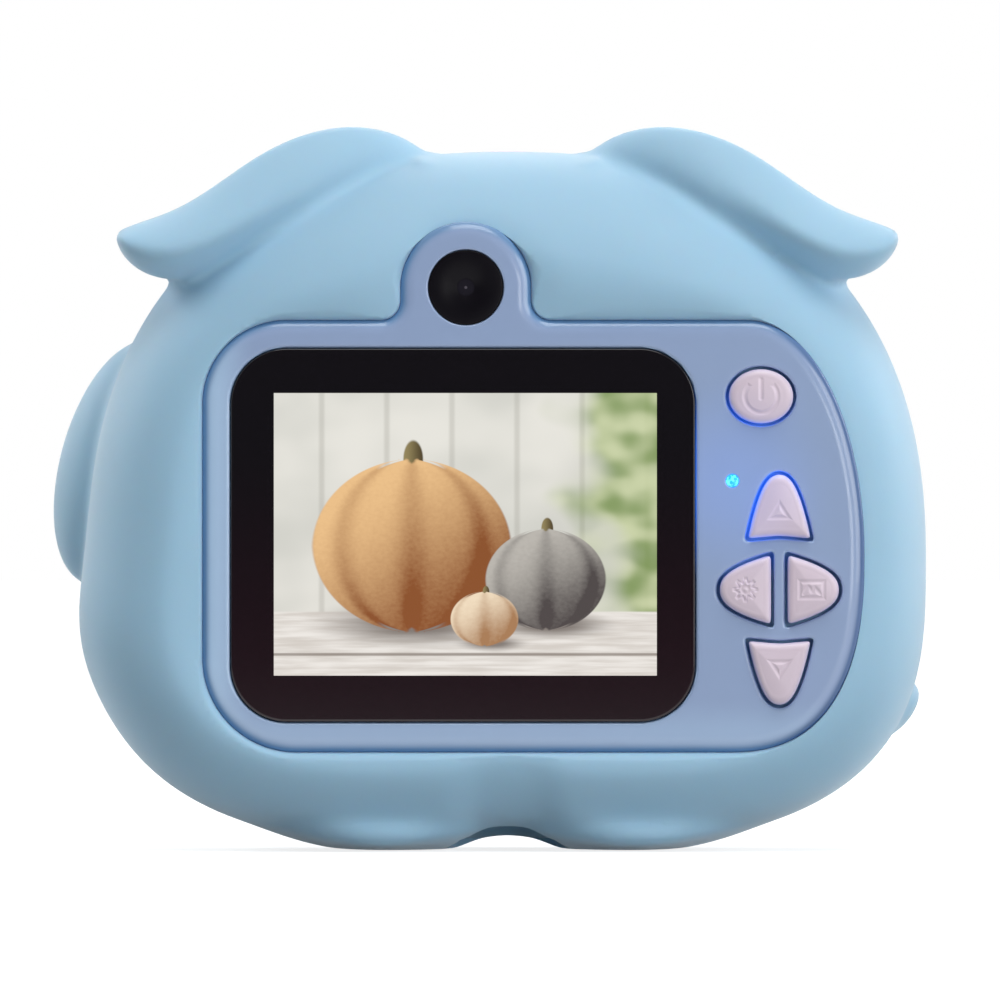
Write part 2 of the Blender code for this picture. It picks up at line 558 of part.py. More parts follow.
def loft(rings):
    """A solid through rings of equally many points: the first is filled, then extruded to each next one."""
    def add(made):
        face = made.faces.new([made.verts.new(point) for point in rings[0]])
        for ring in rings[1:]:
            grown = bmesh.ops.extrude_face_region(made, geom=[face, *face.edges])["geom"]
            face = next(item for item in grown if isinstance(item, bmesh.types.BMFace))
            for corner, point in zip(face.verts, ring):
                corner.co = point
    return [add]


def closed_edges(made, points):
    """A loop of edges through the points."""
    corners = [made.verts.new(point) for point in points]
    return [made.edges.new(pair) for pair in zip(corners, corners[1:] + corners[:1])]


def at_depth(outline, y):
    return np.column_stack([outline[:, 0], np.full(len(outline), y), outline[:, 1]])


def at_height(outline, z):
    """An (x, y) outline laid flat at a height."""
    return np.column_stack([outline[:, 0], outline[:, 1], np.full(len(outline), z)])


def prism(outline, start, end):
    return loft([at_depth(outline, start), at_depth(outline, end)])


def stack(*levels):
    """A solid through outlines, each given with its depth."""
    return loft([at_depth(outline, y) for outline, y in levels])


def post(centre, radius, start, end, sides=SMALL_SIDES):
    return prism(disc(centre, radius, sides), start, end)


def frame(outer, inner, start, end):
    """A straight-walled ring: a flat band bridged between two outlines of equally many points, extruded."""
    def add(made):
        loops = closed_edges(made, at_depth(outer, start)) + closed_edges(made, at_depth(inner, start))
        band = bmesh.ops.bridge_loops(made, edges=loops)["faces"]
        rims = {edge for face in band for edge in face.edges}
        grown = bmesh.ops.extrude_face_region(made, geom=[*band, *rims])["geom"]
        corners = [item for item in grown if isinstance(item, bmesh.types.BMVert)]
        bmesh.ops.translate(made, vec=(0, end - start, 0), verts=corners)
    return [add]


def turned_ring(centre, profile, sides=ROUND_SIDES):
    """A ring about a line along Y: a closed (radius, depth) profile spun once round the centre."""
    def add(made):
        edges = closed_edges(made, [(centre[0] + radius, y, centre[1]) for radius, y in profile])
        corners = {corner for edge in edges for corner in edge.verts}
        middle = (centre[0], 0, centre[1])
        bmesh.ops.spin(made, geom=[*corners, *edges], cent=middle, axis=(0, 1, 0), angle=2 * math.pi,
                       steps=sides, use_merge=True)
    return [add]


def block(low, high):
    (x0, y0, z0), (x1, y1, z1) = low, high
    return prism(np.array([(x0, z0), (x1, z0), (x1, z1), (x0, z1)]), y0, y1)


def blob(centre, half_size, tilt, rings, sides):
    """A round mass about a centre, turned by the tilt in the plane of the screen, with small flat ends."""
    turn = np.arange(sides) * 2 * math.pi / sides
    levels = []
    for lean in np.radians(np.linspace(-80, 80, rings)):
        x = half_size[0] * math.cos(lean) * np.cos(turn)
        z = half_size[2] * math.cos(lean) * np.sin(turn)
        turned_x = x * math.cos(tilt) - z * math.sin(tilt)
        turned_z = x * math.sin(tilt) + z * math.cos(tilt)
        depth = np.full(sides, centre[1] + half_size[1] * math.sin(lean))
        levels.append(np.column_stack([centre[0] + turned_x, depth, centre[2] + turned_z]))
    return loft(levels)


def ribbon(path, x, width):
    """A thin strip of the width given, along a path of (y, z) points."""
    path = np.array(path)
    along = np.gradient(path, axis=0)
    normal = np.column_stack([-along[:, 1], along[:, 0]])
    normal /= np.linalg.norm(normal, axis=1)[:, None]
    half = normal * RIBBON_THICKNESS / 2
    sides = np.vstack([path + half, (path - half)[::-1]])
    ends = [np.column_stack([np.full(len(sides), x + share * width), sides]) for share in (-0.5, 0.5)]
    return loft(ends)


def bezier(points, share):
    """Points of one smooth curve drawn by four control points, at the shares of its length given."""
    share = np.asarray(share)[:, None]
    start, pull, push, end = (np.array(point) for point in points)
    rest = 1 - share
    return rest**3 * start + 3 * share * rest**2 * pull + 3 * share**2 * rest * push + share**3 * end


# Objects

def mesh_of(name, shapes, place=(0.0, 0.0, 0.0)):
    """One mesh of closed shapes, its points counted from the place given, its faces pointing out."""
    made = bmesh.new()
    for add in shapes:
        add(made)
    bmesh.ops.translate(made, vec=[-along for along in place], verts=made.verts)
    bmesh.ops.recalc_face_normals(made, faces=made.faces)
    mesh = bpy.data.meshes.new(name)
    made.to_mesh(mesh)
    made.free()
    return mesh


def link(name, mesh, place=(0.0, 0.0, 0.0)):
    obj = bpy.data.objects.new(name, mesh)
    bpy.context.scene.collection.objects.link(obj)
    obj.parent = CAMERA_AXIS
    obj.location = place
    return obj


def piece(name, shapes, finish, place=(0.0, 0.0, 0.0)):
    obj = link(name, mesh_of(name, shapes, place), place)
    obj.data.materials.append(finish)
    obj.data.shade_smooth()
    obj.data.set_sharp_from_angle(angle=math.radians(35))
    return obj


def boolean(obj, operation, shapes):
    """A hidden helper made of the shapes, joined to the object or cut from it."""
    helper = link(f"{obj.name}_{operation.lower()}_{len(obj.modifiers)}", mesh_of("helper", shapes))
    helper.hide_render = True
    helper.display_type = "WIRE"
    step = obj.modifiers.new(operation.lower(), "BOOLEAN")
    step.operation = operation
    step.object = helper


def join(obj, *shapes):
    boolean(obj, "UNION", sum(shapes, []))


def cut(obj, *shapes):
    boolean(obj, "DIFFERENCE", sum(shapes, []))


def camera_axis():
    """The empty that carries every piece, set so that the whole camera's box is centred on the origin."""
    paw_reach = math.hypot(PAW_HALF_SIZE[0] * math.cos(PAW_TILT), PAW_HALF_SIZE[2] * math.sin(PAW_TILT))
    left, right = PAW_CENTRE[0] - paw_reach, BODY_HALF_WIDTH
    rear, front = min(KEY_TOP, -SLEEVE_REAR), max(LENS_RING_FRONT, MUZZLE_REACH)
    axis = bpy.data.objects.new("camera_axis", None)
    axis.location = (-(left + right) / 2, -(rear + front) / 2, 0)
    bpy.context.scene.collection.objects.link(axis)
    return axis


CAMERA_AXIS = camera_axis()


# Soft sleeve

def sleeve_body():
    """The round body: egg outlines that shrink towards the rear and the front."""
    outline = egg(BODY_HALF_WIDTH, BODY_RISE, BODY_DROP)
    height = (outline[:, 1] - HAUNCH_HEIGHT) / HAUNCH_SPREAD
    outline[:, 0] -= HAUNCH_SWELL * np.exp(-(height**2)) * np.clip(-outline[:, 0] / BODY_HALF_WIDTH, 0, 1)
    below = outline[:, 1] < WIDEST_Z
    outline[:, 1] += CLEFT_RISE * np.exp(-((outline[:, 0] / CLEFT_HALF_WIDTH) ** 4)) * below
    centre = np.array([0.0, WIDEST_Z])
    levels = []
    for lean in BODY_LEANS:
        depth, power = (SLEEVE_REAR, REAR_ROUNDNESS) if lean < 0 else (SLEEVE_FRONT, FRONT_ROUNDNESS)
        swell = math.cos(math.radians(lean)) ** (2 / power)
        y = math.copysign(depth * abs(math.sin(math.radians(lean))) ** (2 / power), lean)
        levels.append((centre + swell * (outline - centre), y))
    return stack(*levels)


def ear(side):
    """A drooping ear: oval slices across its spine, which thin out to the root and close round at the tip."""
    share = 0.5 - 0.5 * np.cos(np.linspace(0, EAR_END * math.pi, EAR_SECTIONS))
    spine = bezier((EAR_ROOT, EAR_CREST, EAR_BEND, EAR_TIP), share) + np.array([0.0, SLEEVE_TOP])
    along = np.gradient(spine, axis=0)
    across = np.column_stack([-along[:, 1], along[:, 0]])
    across /= np.linalg.norm(across, axis=1)[:, None]
    towards_root, towards_tip = np.clip(1 - 2 * share, 0, 1), np.clip(2 * share - 1, 0, 1)
    fullness = np.sqrt((1 - EAR_ROOT_THINNING * towards_root**2) * (1 - towards_tip**4))
    depth = EAR_HALF_DEPTH * fullness * (1 - (1 - EAR_TIP_SHARE) * share**2)
    turn = np.arange(FLESH_SIDES) * 2 * math.pi / FLESH_SIDES
    levels = []
    for point, normal, width, reach in zip(spine, across, EAR_HALF_WIDTH * fullness, depth):
        flat = point + np.outer(width * np.cos(turn), normal)
        deep = EAR_DEPTH_CENTRE + reach * np.sin(turn)
        levels.append(np.column_stack([side * flat[:, 0], deep, flat[:, 1]]))
    return loft(levels)


def foot(side):
    """A foot: a flat sole on the ground, then slices that swell and close in towards the body."""
    middle = (side * FOOT_SPACING / 2, FOOT_DEPTH_CENTRE)
    levels = []
    for height, share in FOOT_SLICES:
        outline = oval(middle, share * FOOT_HALF_WIDTH, share * FOOT_HALF_DEPTH)
        levels.append(at_height(outline, height * FOOT_HEIGHT))
    return loft(levels)


def muzzle():
    """The oval snout round the main lens."""
    levels = []
    for reach, share in MUZZLE_SLICES:
        outline = oval(MUZZLE_CENTRE, share * MUZZLE_HALF_WIDTH, share * MUZZLE_HALF_HEIGHT, 2 * ROUND_SIDES)
        levels.append((outline, reach * MUZZLE_REACH))
    return stack(*levels)


def case_solid(inset, rear, front):
    """The outside of the hard case, or its hollow: straight walls with round edges at both ends."""
    radius = CASE_EDGE_RADIUS - inset
    rear_levels, front_levels = [], []
    for lean in np.radians(EDGE_LEANS):
        outline = case_outline(inset + radius * (1 - math.cos(lean)))
        drop = radius * (1 - math.sin(lean))
        rear_levels.append((outline, rear + drop))
        front_levels.append((outline, front - drop))
    return stack(*rear_levels[::-1], *front_levels)


def sound_holes(start, end):
    spread = disc(SPEAKER_CENTRE, SOUND_HOLE_CIRCLE, SOUND_HOLES)
    places = [SPEAKER_CENTRE, *spread]
    return sum((post(place, SOUND_HOLE_RADIUS, start, end, TINY_SIDES) for place in places), [])


def shutter_hole(gap):
    hole = oval((0.0, SHUTTER_DEPTH), SHUTTER_HALF_WIDTH + gap, SHUTTER_HALF_DEPTH + gap)
    return loft([at_height(hole, CASE_TOP - 2 * CASE_WALL), at_height(hole, SLEEVE_TOP + OVERCUT)])


def usb_hole():
    hole = rectangle((0.0, USB_CENTRE_Y), USB_PLUG_WIDTH, USB_PLUG_HEIGHT, USB_PLUG_RADIUS)
    return loft([at_height(hole, -OVERCUT), at_height(hole, CASE_BOTTOM + 2 * CASE_WALL)])


def make_sleeve():
    sleeve = piece("silicone_sleeve", sleeve_body(), SILICONE)
    for part in (ear(-1), ear(1), foot(-1), foot(1), muzzle()):
        join(sleeve, part)
    paw = blob(PAW_CENTRE, PAW_HALF_SIZE, PAW_TILT, PAW_RINGS, FLESH_SIDES)
    tail = blob(TAIL_CENTRE, TAIL_HALF_SIZE, TAIL_TILT, TAIL_RINGS, SMALL_SIDES)
    join(sleeve, paw, tail)
    cut(sleeve, case_solid(-FIT_GAP, CASE_REAR - FIT_GAP, CASE_FRONT + FIT_GAP))
    cut(sleeve, prism(offset(panel_outline(), FIT_GAP), -SLEEVE_REAR - OVERCUT, CASE_REAR + OVERCUT))
    lens_hole = disc(MUZZLE_CENTRE, LENS_HOLE_RADIUS, 2 * ROUND_SIDES)
    cut(sleeve, prism(lens_hole, CASE_FRONT - OVERCUT, MUZZLE_REACH + OVERCUT))
    cut(sleeve, shutter_hole(SHUTTER_GAP))
    cut(sleeve, usb_hole())
    cut(sleeve, sound_holes(CASE_FRONT - OVERCUT, SLEEVE_FRONT + OVERCUT))


# Rear case with its raised panel

def power_hole():
    return oval(POWER_CENTRE, POWER_HALF_WIDTH, POWER_HALF_HEIGHT)


def key_holes():
    """The outline of each key's hole in the panel, by the key's name."""
    x, z = PAD_CENTRE
    arrow = petal(ARROW_KEY_HALF_BASE, ARROW_KEY_LENGTH, ARROW_KEY_HOLLOW)
    side = petal(ARROW_KEY_OFFSET - PAD_WEB, SIDE_KEY_LENGTH, 0.0)
    return {
        "power": power_hole(),
        "up": turned_outline(arrow, (x, z + ARROW_KEY_OFFSET), 0),
        "down": turned_outline(arrow, (x, z - ARROW_KEY_OFFSET), 180),
        "left": turned_outline(side, (x - PAD_SPLIT / 2, z), 90),
        "right": turned_outline(side, (x + PAD_SPLIT / 2, z), 270),
    }


def key_centre(name):
    """The middle of a key, where its stem meets the switch."""
    hole = key_holes()[name]
    return (hole.min(axis=0) + hole.max(axis=0)) / 2


def board_posts():
    """Where the main board is screwed down, as (centre, depth that the post starts from)."""
    left = BOARD_POST_INSET + BOARD_POST_RADIUS - INNER_HALF_WIDTH
    low, high = BOARD_BOTTOM + LOW_LEFT_POST_RISE, CARD_SOCKET_BOTTOM - TOP_LEFT_POST_CARD_GAP
    posts = [((left, z), CASE_REAR + EMBED) for z in (low, high)]
    return posts + [(centre, PANEL_BACK - EMBED) for centre in (LOW_RIGHT_BOARD_POST, TOP_RIGHT_BOARD_POST)]


def panel_boss():
    """The panel's block, with a soft bevel round its face."""
    outline = panel_outline()
    levels = [(outline, CASE_REAR + EMBED)]
    for inwards, down in PANEL_BEVEL_STEPS:
        levels.append((offset(outline, -inwards * PANEL_BEVEL_WIDTH), PANEL_FACE + down * PANEL_BEVEL_DEPTH))
    return stack(*levels)


def panel_pocket():
    """The hollow behind the panel, above the lower case posts."""
    outline = offset(panel_outline(), -PANEL_RIM)
    floor = LOWER_POST[1] + CASE_POST_RADIUS + EMBED
    outline[:, 1] = np.maximum(outline[:, 1], floor)
    return prism(outline, PANEL_BACK, INNER_REAR + OVERCUT)


def lcd_outline(grow):
    return rectangle(PICTURE_CENTRE, LCD_WIDTH + 2 * grow, LCD_HEIGHT + 2 * grow)


def window_outline(grow):
    return rectangle(WINDOW_CENTRE, WINDOW_WIDTH + 2 * grow, WINDOW_HEIGHT + 2 * grow, WINDOW_RADIUS + grow)


def make_rear_case():
    case = piece("rear_case", case_solid(0.0, CASE_REAR, CASE_FRONT), PANEL_PLASTIC)
    wide = 2 * BODY_HALF_WIDTH
    cut(case, block((-wide, -PARTING, -wide), (wide, wide, 3 * wide)))
    cut(case, case_solid(CASE_WALL, INNER_REAR, INNER_FRONT))
    join(case, panel_boss())
    cut(case, panel_pocket())
    window = window_outline(FIT_GAP)
    margin = 2 * PICTURE_MARGIN
    picture = rectangle(PICTURE_CENTRE, PICTURE_WIDTH + margin, PICTURE_HEIGHT + margin)
    cut(case, prism(window, PANEL_FACE - OVERCUT, WINDOW_SEAT))
    cut(case, prism(picture, PANEL_FACE - OVERCUT, PANEL_BACK + OVERCUT))
    through = (PANEL_FACE - OVERCUT, PANEL_BACK + EMBED)
    cut(case, *[prism(hole, *through) for hole in key_holes().values()])
    cut(case, post(LED_CENTRE, LED_PIPE_RADIUS + FIT_GAP, *through))
    lens_seat = disc(SELFIE_CENTRE, SELFIE_WINDOW_RADIUS + FIT_GAP)
    cut(case, prism(lens_seat, PANEL_FACE - OVERCUT, SELFIE_WINDOW_BACK + FACE_GAP))
    ribs = (PANEL_BACK - EMBED, BACKLIGHT_BACK)
    join(case, frame(lcd_outline(FIT_GAP + LCD_RIB), lcd_outline(FIT_GAP), *ribs))
    collar = SELFIE_BARREL_RADIUS + FIT_GAP + SELFIE_COLLAR_WALL
    join(case, post(SELFIE_CENTRE, collar, PANEL_BACK - EMBED, SELFIE_BARREL_REAR, ROUND_SIDES))
    aperture = disc(SELFIE_CENTRE, SELFIE_APERTURE_RADIUS)
    cut(case, prism(aperture, PANEL_FACE - OVERCUT, PANEL_BACK + OVERCUT))
    barrel_seat = SELFIE_WINDOW_BACK + 2 * FACE_GAP + EMBED
    barrel_bore = disc(SELFIE_CENTRE, SELFIE_BARREL_RADIUS + FIT_GAP)
    cut(case, prism(barrel_bore, barrel_seat, SELFIE_BARREL_REAR + OVERCUT))
    join(case, *[post(centre, CASE_POST_RADIUS, CASE_REAR + EMBED, -PARTING) for centre in CASE_POSTS])
    post_top = BOARD_REAR - FACE_GAP
    join(case, *[post(centre, BOARD_POST_RADIUS, start, post_top) for centre, start in board_posts()])
    pilot = CASE_SCREW_RADIUS + FIT_GAP
    reach = CASE_SCREW_SEAT - CASE_SCREW_LENGTH - FIT_GAP
    cut(case, *[post(centre, pilot, reach, OVERCUT) for centre in CASE_POSTS])
    board_pilot = BOARD_SCREW_RADIUS + FIT_GAP
    board_reach = PARTS_REAR - BOARD_SCREW_LENGTH - FIT_GAP
    cut(case, *[post(centre, board_pilot, board_reach, BOARD_REAR) for centre, _ in board_posts()])
    cut(case, usb_hole())
    slot_y = PARTS_REAR + CARD_SOCKET_HEIGHT / 2
    slot_half = (CARD_SLOT_WIDTH / 2 + FIT_GAP, CARD_SLOT_HEIGHT / 2 + FIT_GAP)
    left = -(BODY_HALF_WIDTH - CASE_INSET)
    cut(case, block(
        (left - OVERCUT, slot_y - slot_half[1], CARD_SOCKET_CENTRE_Z - slot_half[0]),
        (left + 2 * CASE_WALL, slot_y + slot_half[1], CARD_SOCKET_CENTRE_Z + slot_half[0]),
    ))


# Front case with its lens collar

def make_front_case():
    case = piece("front_case", case_solid(0.0, CASE_REAR, CASE_FRONT), CASE_PLASTIC)
    wide = 2 * BODY_HALF_WIDTH
    cut(case, block((-wide, -wide, -wide), (wide, PARTING, 3 * wide)))
    cut(case, case_solid(CASE_WALL, INNER_REAR, INNER_FRONT))
    join(case, post(MUZZLE_CENTRE, LENS_COLLAR_RADIUS, LENS_COLLAR_REAR, LENS_COLLAR_FRONT, ROUND_SIDES))
    bore = (LENS_COLLAR_REAR - OVERCUT, LENS_COLLAR_FRONT + OVERCUT)
    cut(case, post(MUZZLE_CENTRE, LENS_COLLAR_BORE, *bore, ROUND_SIDES))
    join(case, *[post(centre, CASE_POST_RADIUS, PARTING, INNER_FRONT + EMBED) for centre in CASE_POSTS])
    cut(case, *[post(centre, CASE_SCREW_RADIUS + FIT_GAP, -OVERCUT, CASE_FRONT) for centre in CASE_POSTS])
    head = CASE_SCREW_HEAD_RADIUS + FIT_GAP
    cut(case, *[post(centre, head, CASE_SCREW_SEAT, CASE_FRONT + OVERCUT) for centre in CASE_POSTS])
    cradle = [
        rectangle(BATTERY_CENTRE, BATTERY_WIDTH + 2 * grow, BATTERY_HEIGHT + 2 * grow)
        for grow in (FIT_GAP + CRADLE_RIB, FIT_GAP)
    ]
    ring = [disc(SPEAKER_CENTRE, SPEAKER_RADIUS + grow) for grow in (FIT_GAP + CRADLE_RIB, FIT_GAP)]
    ribs = (INNER_FRONT - CRADLE_HEIGHT, INNER_FRONT + EMBED)
    join(case, frame(*cradle, *ribs), frame(*ring, *ribs))
    cut(case, sound_holes(INNER_FRONT - OVERCUT, CASE_FRONT + OVERCUT))
    for side in (-1, 1):
        outer = side * (SHUTTER_BOARD_WIDTH / 2)
        inner = side * (SHUTTER_BOARD_WIDTH / 2 - SHUTTER_LEDGE_WIDTH)
        rear = SHUTTER_DEPTH - SHUTTER_BOARD_DEPTH / 2
        low = (min(outer, inner), rear, SHUTTER_LEDGE_TOP - SHUTTER_LEDGE_HEIGHT)
        high = (max(outer, inner), INNER_FRONT + EMBED, SHUTTER_LEDGE_TOP)
        join(case, block(low, high))
    cut(case, shutter_hole(SHUTTER_GAP))


# Screen

def make_screen():
    window = window_outline(0.0)
    piece("screen_window", stack(
        (window, WINDOW_BACK),
        (window, WINDOW_FRONT + WINDOW_CHAMFER),
        (offset(window, -WINDOW_CHAMFER), WINDOW_FRONT),
    ), BLACK_GLOSS)
    piece("lcd_panel", prism(lcd_outline(0.0), LCD_FRONT, LCD_BACK), PICTURE)
    piece("lcd_backlight", prism(lcd_outline(0.0), BACKLIGHT_FRONT, BACKLIGHT_BACK), STEEL)


# Small rear camera

def make_selfie_camera():
    window = disc(SELFIE_CENTRE, SELFIE_WINDOW_RADIUS)
    piece("selfie_window", prism(window, PANEL_FACE, SELFIE_WINDOW_BACK), BLACK_GLOSS)
    radius = SELFIE_BARREL_RADIUS
    start = SELFIE_WINDOW_BACK + 3 * FACE_GAP + EMBED
    piece("selfie_barrel", turned_ring(SELFIE_CENTRE, [
        (radius, start),
        (radius, SELFIE_BARREL_REAR),
        (SELFIE_BORE_REAR_RADIUS, SELFIE_BARREL_REAR),
        (SELFIE_BORE_FRONT_RADIUS, start),
    ]), BLACK_MATTE)
    board = rectangle(SELFIE_CENTRE, SELFIE_BOARD_SIDE, SELFIE_BOARD_SIDE)
    piece("selfie_board", prism(board, SELFIE_BOARD_REAR, SELFIE_BOARD_REAR + BOARD_THICKNESS), BOARD_GREEN)


# Keys and their switches

def switch_outlines(centre):
    """A switch's square body and its round plunger, with as many points each."""
    body = rectangle(centre, SWITCH_SIDE, SWITCH_SIDE, SWITCH_CORNER_RADIUS, SMALL_CORNER_STEPS)
    plunger = np.roll(disc(centre, PLUNGER_RADIUS, len(body)), -1, axis=0)
    return body, plunger


def crown(cap, top, depth):
    """The rounded top of a key: outlines that widen to the cap's own, each with its depth."""
    return [(shrink(cap, share * abs(depth)), top + drop * depth) for share, drop in CROWN_STEPS]


def make_keys():
    for name, hole in key_holes().items():
        cap = shrink(hole, KEY_GAP)
        centre = key_centre(name)
        flange = shrink(hole, -KEY_FLANGE_LIP)
        key = piece(f"{name}_key", stack(
            *crown(cap, KEY_TOP, KEY_CROWN), (cap, KEY_FLANGE_FRONT),
            (flange, KEY_FLANGE_FRONT), (flange, KEY_FLANGE_BACK),
        ), KEY_PLASTIC, (centre[0], PANEL_FACE, centre[1]))
        join(key, post(centre, KEY_STEM_RADIUS, KEY_FLANGE_BACK - EMBED, KEY_STEM_END))
        body, plunger = switch_outlines(centre)
        piece(f"{name}_switch", stack(
            (body, SWITCH_BACK), (body, SWITCH_FRONT), (plunger, SWITCH_FRONT), (plunger, PLUNGER_TIP),
        ), BLACK_MATTE)


# Shutter key, its switch and its board

def make_shutter():
    place = (0.0, SHUTTER_DEPTH)
    cap = oval(place, SHUTTER_HALF_WIDTH, SHUTTER_HALF_DEPTH)
    flange = oval(place, SHUTTER_HALF_WIDTH + SHUTTER_FLANGE_LIP, SHUTTER_HALF_DEPTH + SHUTTER_FLANGE_LIP)
    stem = disc(place, KEY_STEM_RADIUS)
    flange_bottom = SHUTTER_FLANGE_TOP - SHUTTER_FLANGE
    levels = (
        *crown(cap, SHUTTER_TOP, -SHUTTER_CROWN), (cap, SHUTTER_FLANGE_TOP), (flange, SHUTTER_FLANGE_TOP),
        (flange, flange_bottom), (stem, flange_bottom), (stem, SHUTTER_STEM_END),
    )
    shape = loft([at_height(outline, z) for outline, z in levels])
    piece("shutter_key", shape, KEY_PLASTIC, (0.0, SHUTTER_DEPTH, SHUTTER_TOP))
    body, plunger = switch_outlines(place)
    switch = (
        (body, SHUTTER_SWITCH_TOP - SWITCH_HEIGHT), (body, SHUTTER_SWITCH_TOP),
        (plunger, SHUTTER_SWITCH_TOP), (plunger, SHUTTER_PLUNGER_TIP),
    )
    piece("shutter_switch", loft([at_height(outline, z) for outline, z in switch]), BLACK_MATTE)
    board = rectangle(place, SHUTTER_BOARD_WIDTH, SHUTTER_BOARD_DEPTH)
    levels = [at_height(board, SHUTTER_BOARD_BOTTOM), at_height(board, SHUTTER_BOARD_TOP)]
    piece("shutter_board", loft(levels), BOARD_GREEN)


# Main board and its parts

def make_main_board():
    outline = case_outline(CASE_WALL + BOARD_EDGE_GAP)
    outline[:, 1] = np.clip(outline[:, 1], BOARD_BOTTOM, BOARD_TOP)
    board = piece("main_board", prism(outline, BOARD_REAR, BOARD_FRONT), BOARD_GREEN)
    through = (BOARD_REAR - OVERCUT, BOARD_FRONT + OVERCUT)
    cut(board, *[post(centre, CASE_POST_RADIUS + 2 * FIT_GAP, *through) for centre in CASE_POSTS])
    cut(board, *[post(centre, BOARD_SCREW_RADIUS + FIT_GAP, *through) for centre, _ in board_posts()])
    chip = rectangle(CHIP_CENTRE, CHIP_SIDE, CHIP_SIDE)
    piece("main_chip", prism(chip, PARTS_REAR, PARTS_REAR + CHIP_HEIGHT), BLACK_MATTE)
    microphone = post(MICROPHONE_CENTRE, MICROPHONE_RADIUS, PARTS_REAR, PARTS_REAR + MICROPHONE_HEIGHT)
    piece("microphone", microphone, STEEL)
    led = rectangle(LED_CENTRE, LED_SIDE, LED_SIDE)
    led_front = BOARD_REAR - FACE_GAP - LED_HEIGHT
    piece("status_led", prism(led, led_front, BOARD_REAR - FACE_GAP), LED_LENS)
    pipe = disc(LED_CENTRE, LED_PIPE_RADIUS, SMALL_SIDES)
    flange = disc(LED_CENTRE, LED_PIPE_FLANGE_RADIUS, SMALL_SIDES)
    piece("led_light_pipe", stack(
        (pipe, PANEL_FACE), (pipe, KEY_FLANGE_FRONT), (flange, KEY_FLANGE_FRONT), (flange, KEY_FLANGE_BACK),
        (pipe, KEY_FLANGE_BACK), (pipe, led_front - FACE_GAP),
    ), LED_LENS)
    make_usb_socket()
    make_card_socket()


def make_usb_socket():
    centre = (0.0, USB_CENTRE_Y)
    shell = rectangle(centre, USB_WIDTH, USB_HEIGHT, USB_CORNER_RADIUS, SMALL_CORNER_STEPS)
    mouth = offset(shell, -USB_SHELL)
    socket = piece("usb_socket", loft([at_height(shell, USB_Z), at_height(shell, USB_Z + USB_LENGTH)]), STEEL)
    floor = USB_Z + USB_LENGTH - 2 * USB_SHELL
    cut(socket, loft([at_height(mouth, USB_Z - OVERCUT), at_height(mouth, floor)]))
    tongue = rectangle(centre, USB_WIDTH - 5 * USB_SHELL, USB_TONGUE)
    join(socket, loft([at_height(tongue, USB_Z + 2 * USB_SHELL), at_height(tongue, floor + USB_SHELL)]))


def make_card_socket():
    left = BOARD_EDGE_GAP + BOARD_POST_INSET - INNER_HALF_WIDTH
    top = CARD_SOCKET_BOTTOM + CARD_SOCKET_WIDTH
    low = (left, PARTS_REAR, CARD_SOCKET_BOTTOM)
    high = (left + CARD_SOCKET_LENGTH, PARTS_REAR + CARD_SOCKET_HEIGHT, top)
    socket = piece("card_socket", block(low, high), STEEL)
    slot_y = PARTS_REAR + CARD_SOCKET_HEIGHT / 2
    slot = (CARD_SLOT_HEIGHT / 2, CARD_SLOT_WIDTH / 2)
    cut(socket, block(
        (left - OVERCUT, slot_y - slot[0], CARD_SOCKET_CENTRE_Z - slot[1]),
        (left + CARD_SLOT_DEPTH, slot_y + slot[0], CARD_SOCKET_CENTRE_Z + slot[1]),
    ))


# Main camera

def make_main_camera():
    radius, mouth = LENS_BARREL_RADIUS, LENS_BARREL_MOUTH
    piece("front_lens_barrel", turned_ring(MUZZLE_CENTRE, [
        (radius, LENS_BARREL_FRONT),
        (radius, LENS_COLLAR_REAR),
        (LENS_BARREL_BORE, LENS_COLLAR_REAR),
        (LENS_BARREL_BORE, LENS_BARREL_FRONT - LENS_BARREL_MOUTH_DEPTH),
        (mouth, LENS_BARREL_FRONT),
    ]), BLACK_MATTE)
    piece("front_lens_glass", stack(
        (disc(MUZZLE_CENTRE, radius), LENS_GLASS_BACK),
        (disc(MUZZLE_CENTRE, radius), LENS_GLASS_FRONT - LENS_GLASS_BEVEL_DEPTH),
        (disc(MUZZLE_CENTRE, radius - LENS_GLASS_BEVEL_WIDTH), LENS_GLASS_FRONT),
    ), GLASS)
    spigot = LENS_COLLAR_BORE - FIT_GAP
    seat = LENS_COLLAR_FRONT + FACE_GAP
    piece("front_lens_ring", turned_ring(MUZZLE_CENTRE, [
        (LENS_RING_OPENING, seat - LENS_RING_SPIGOT + FACE_GAP),
        (LENS_RING_OPENING, LENS_RING_FRONT - LENS_RING_SPIGOT_WALL),
        (LENS_RING_OPENING + LENS_RING_SPIGOT_WALL, LENS_RING_FRONT),
        (LENS_RING_RADIUS - LENS_RING_SPIGOT_WALL, LENS_RING_FRONT),
        (LENS_RING_RADIUS, LENS_RING_FRONT - LENS_RING_SPIGOT_WALL),
        (LENS_RING_RADIUS, seat),
        (spigot, seat),
        (spigot, seat - LENS_RING_SPIGOT + FACE_GAP),
    ]), STEEL)
    board = rectangle(MUZZLE_CENTRE, SENSOR_BOARD_SIDE, SENSOR_BOARD_SIDE)
    piece("front_sensor_board", prism(board, SENSOR_BOARD_REAR, SENSOR_BOARD_FRONT), BOARD_GREEN)
    sensor = rectangle(MUZZLE_CENTRE, SENSOR_SIDE, SENSOR_SIDE)
    start = SENSOR_BOARD_FRONT + FACE_GAP
    piece("front_sensor", prism(sensor, start, start + SENSOR_HEIGHT), BLACK_MATTE)


# Battery, speaker, ribbons and leads

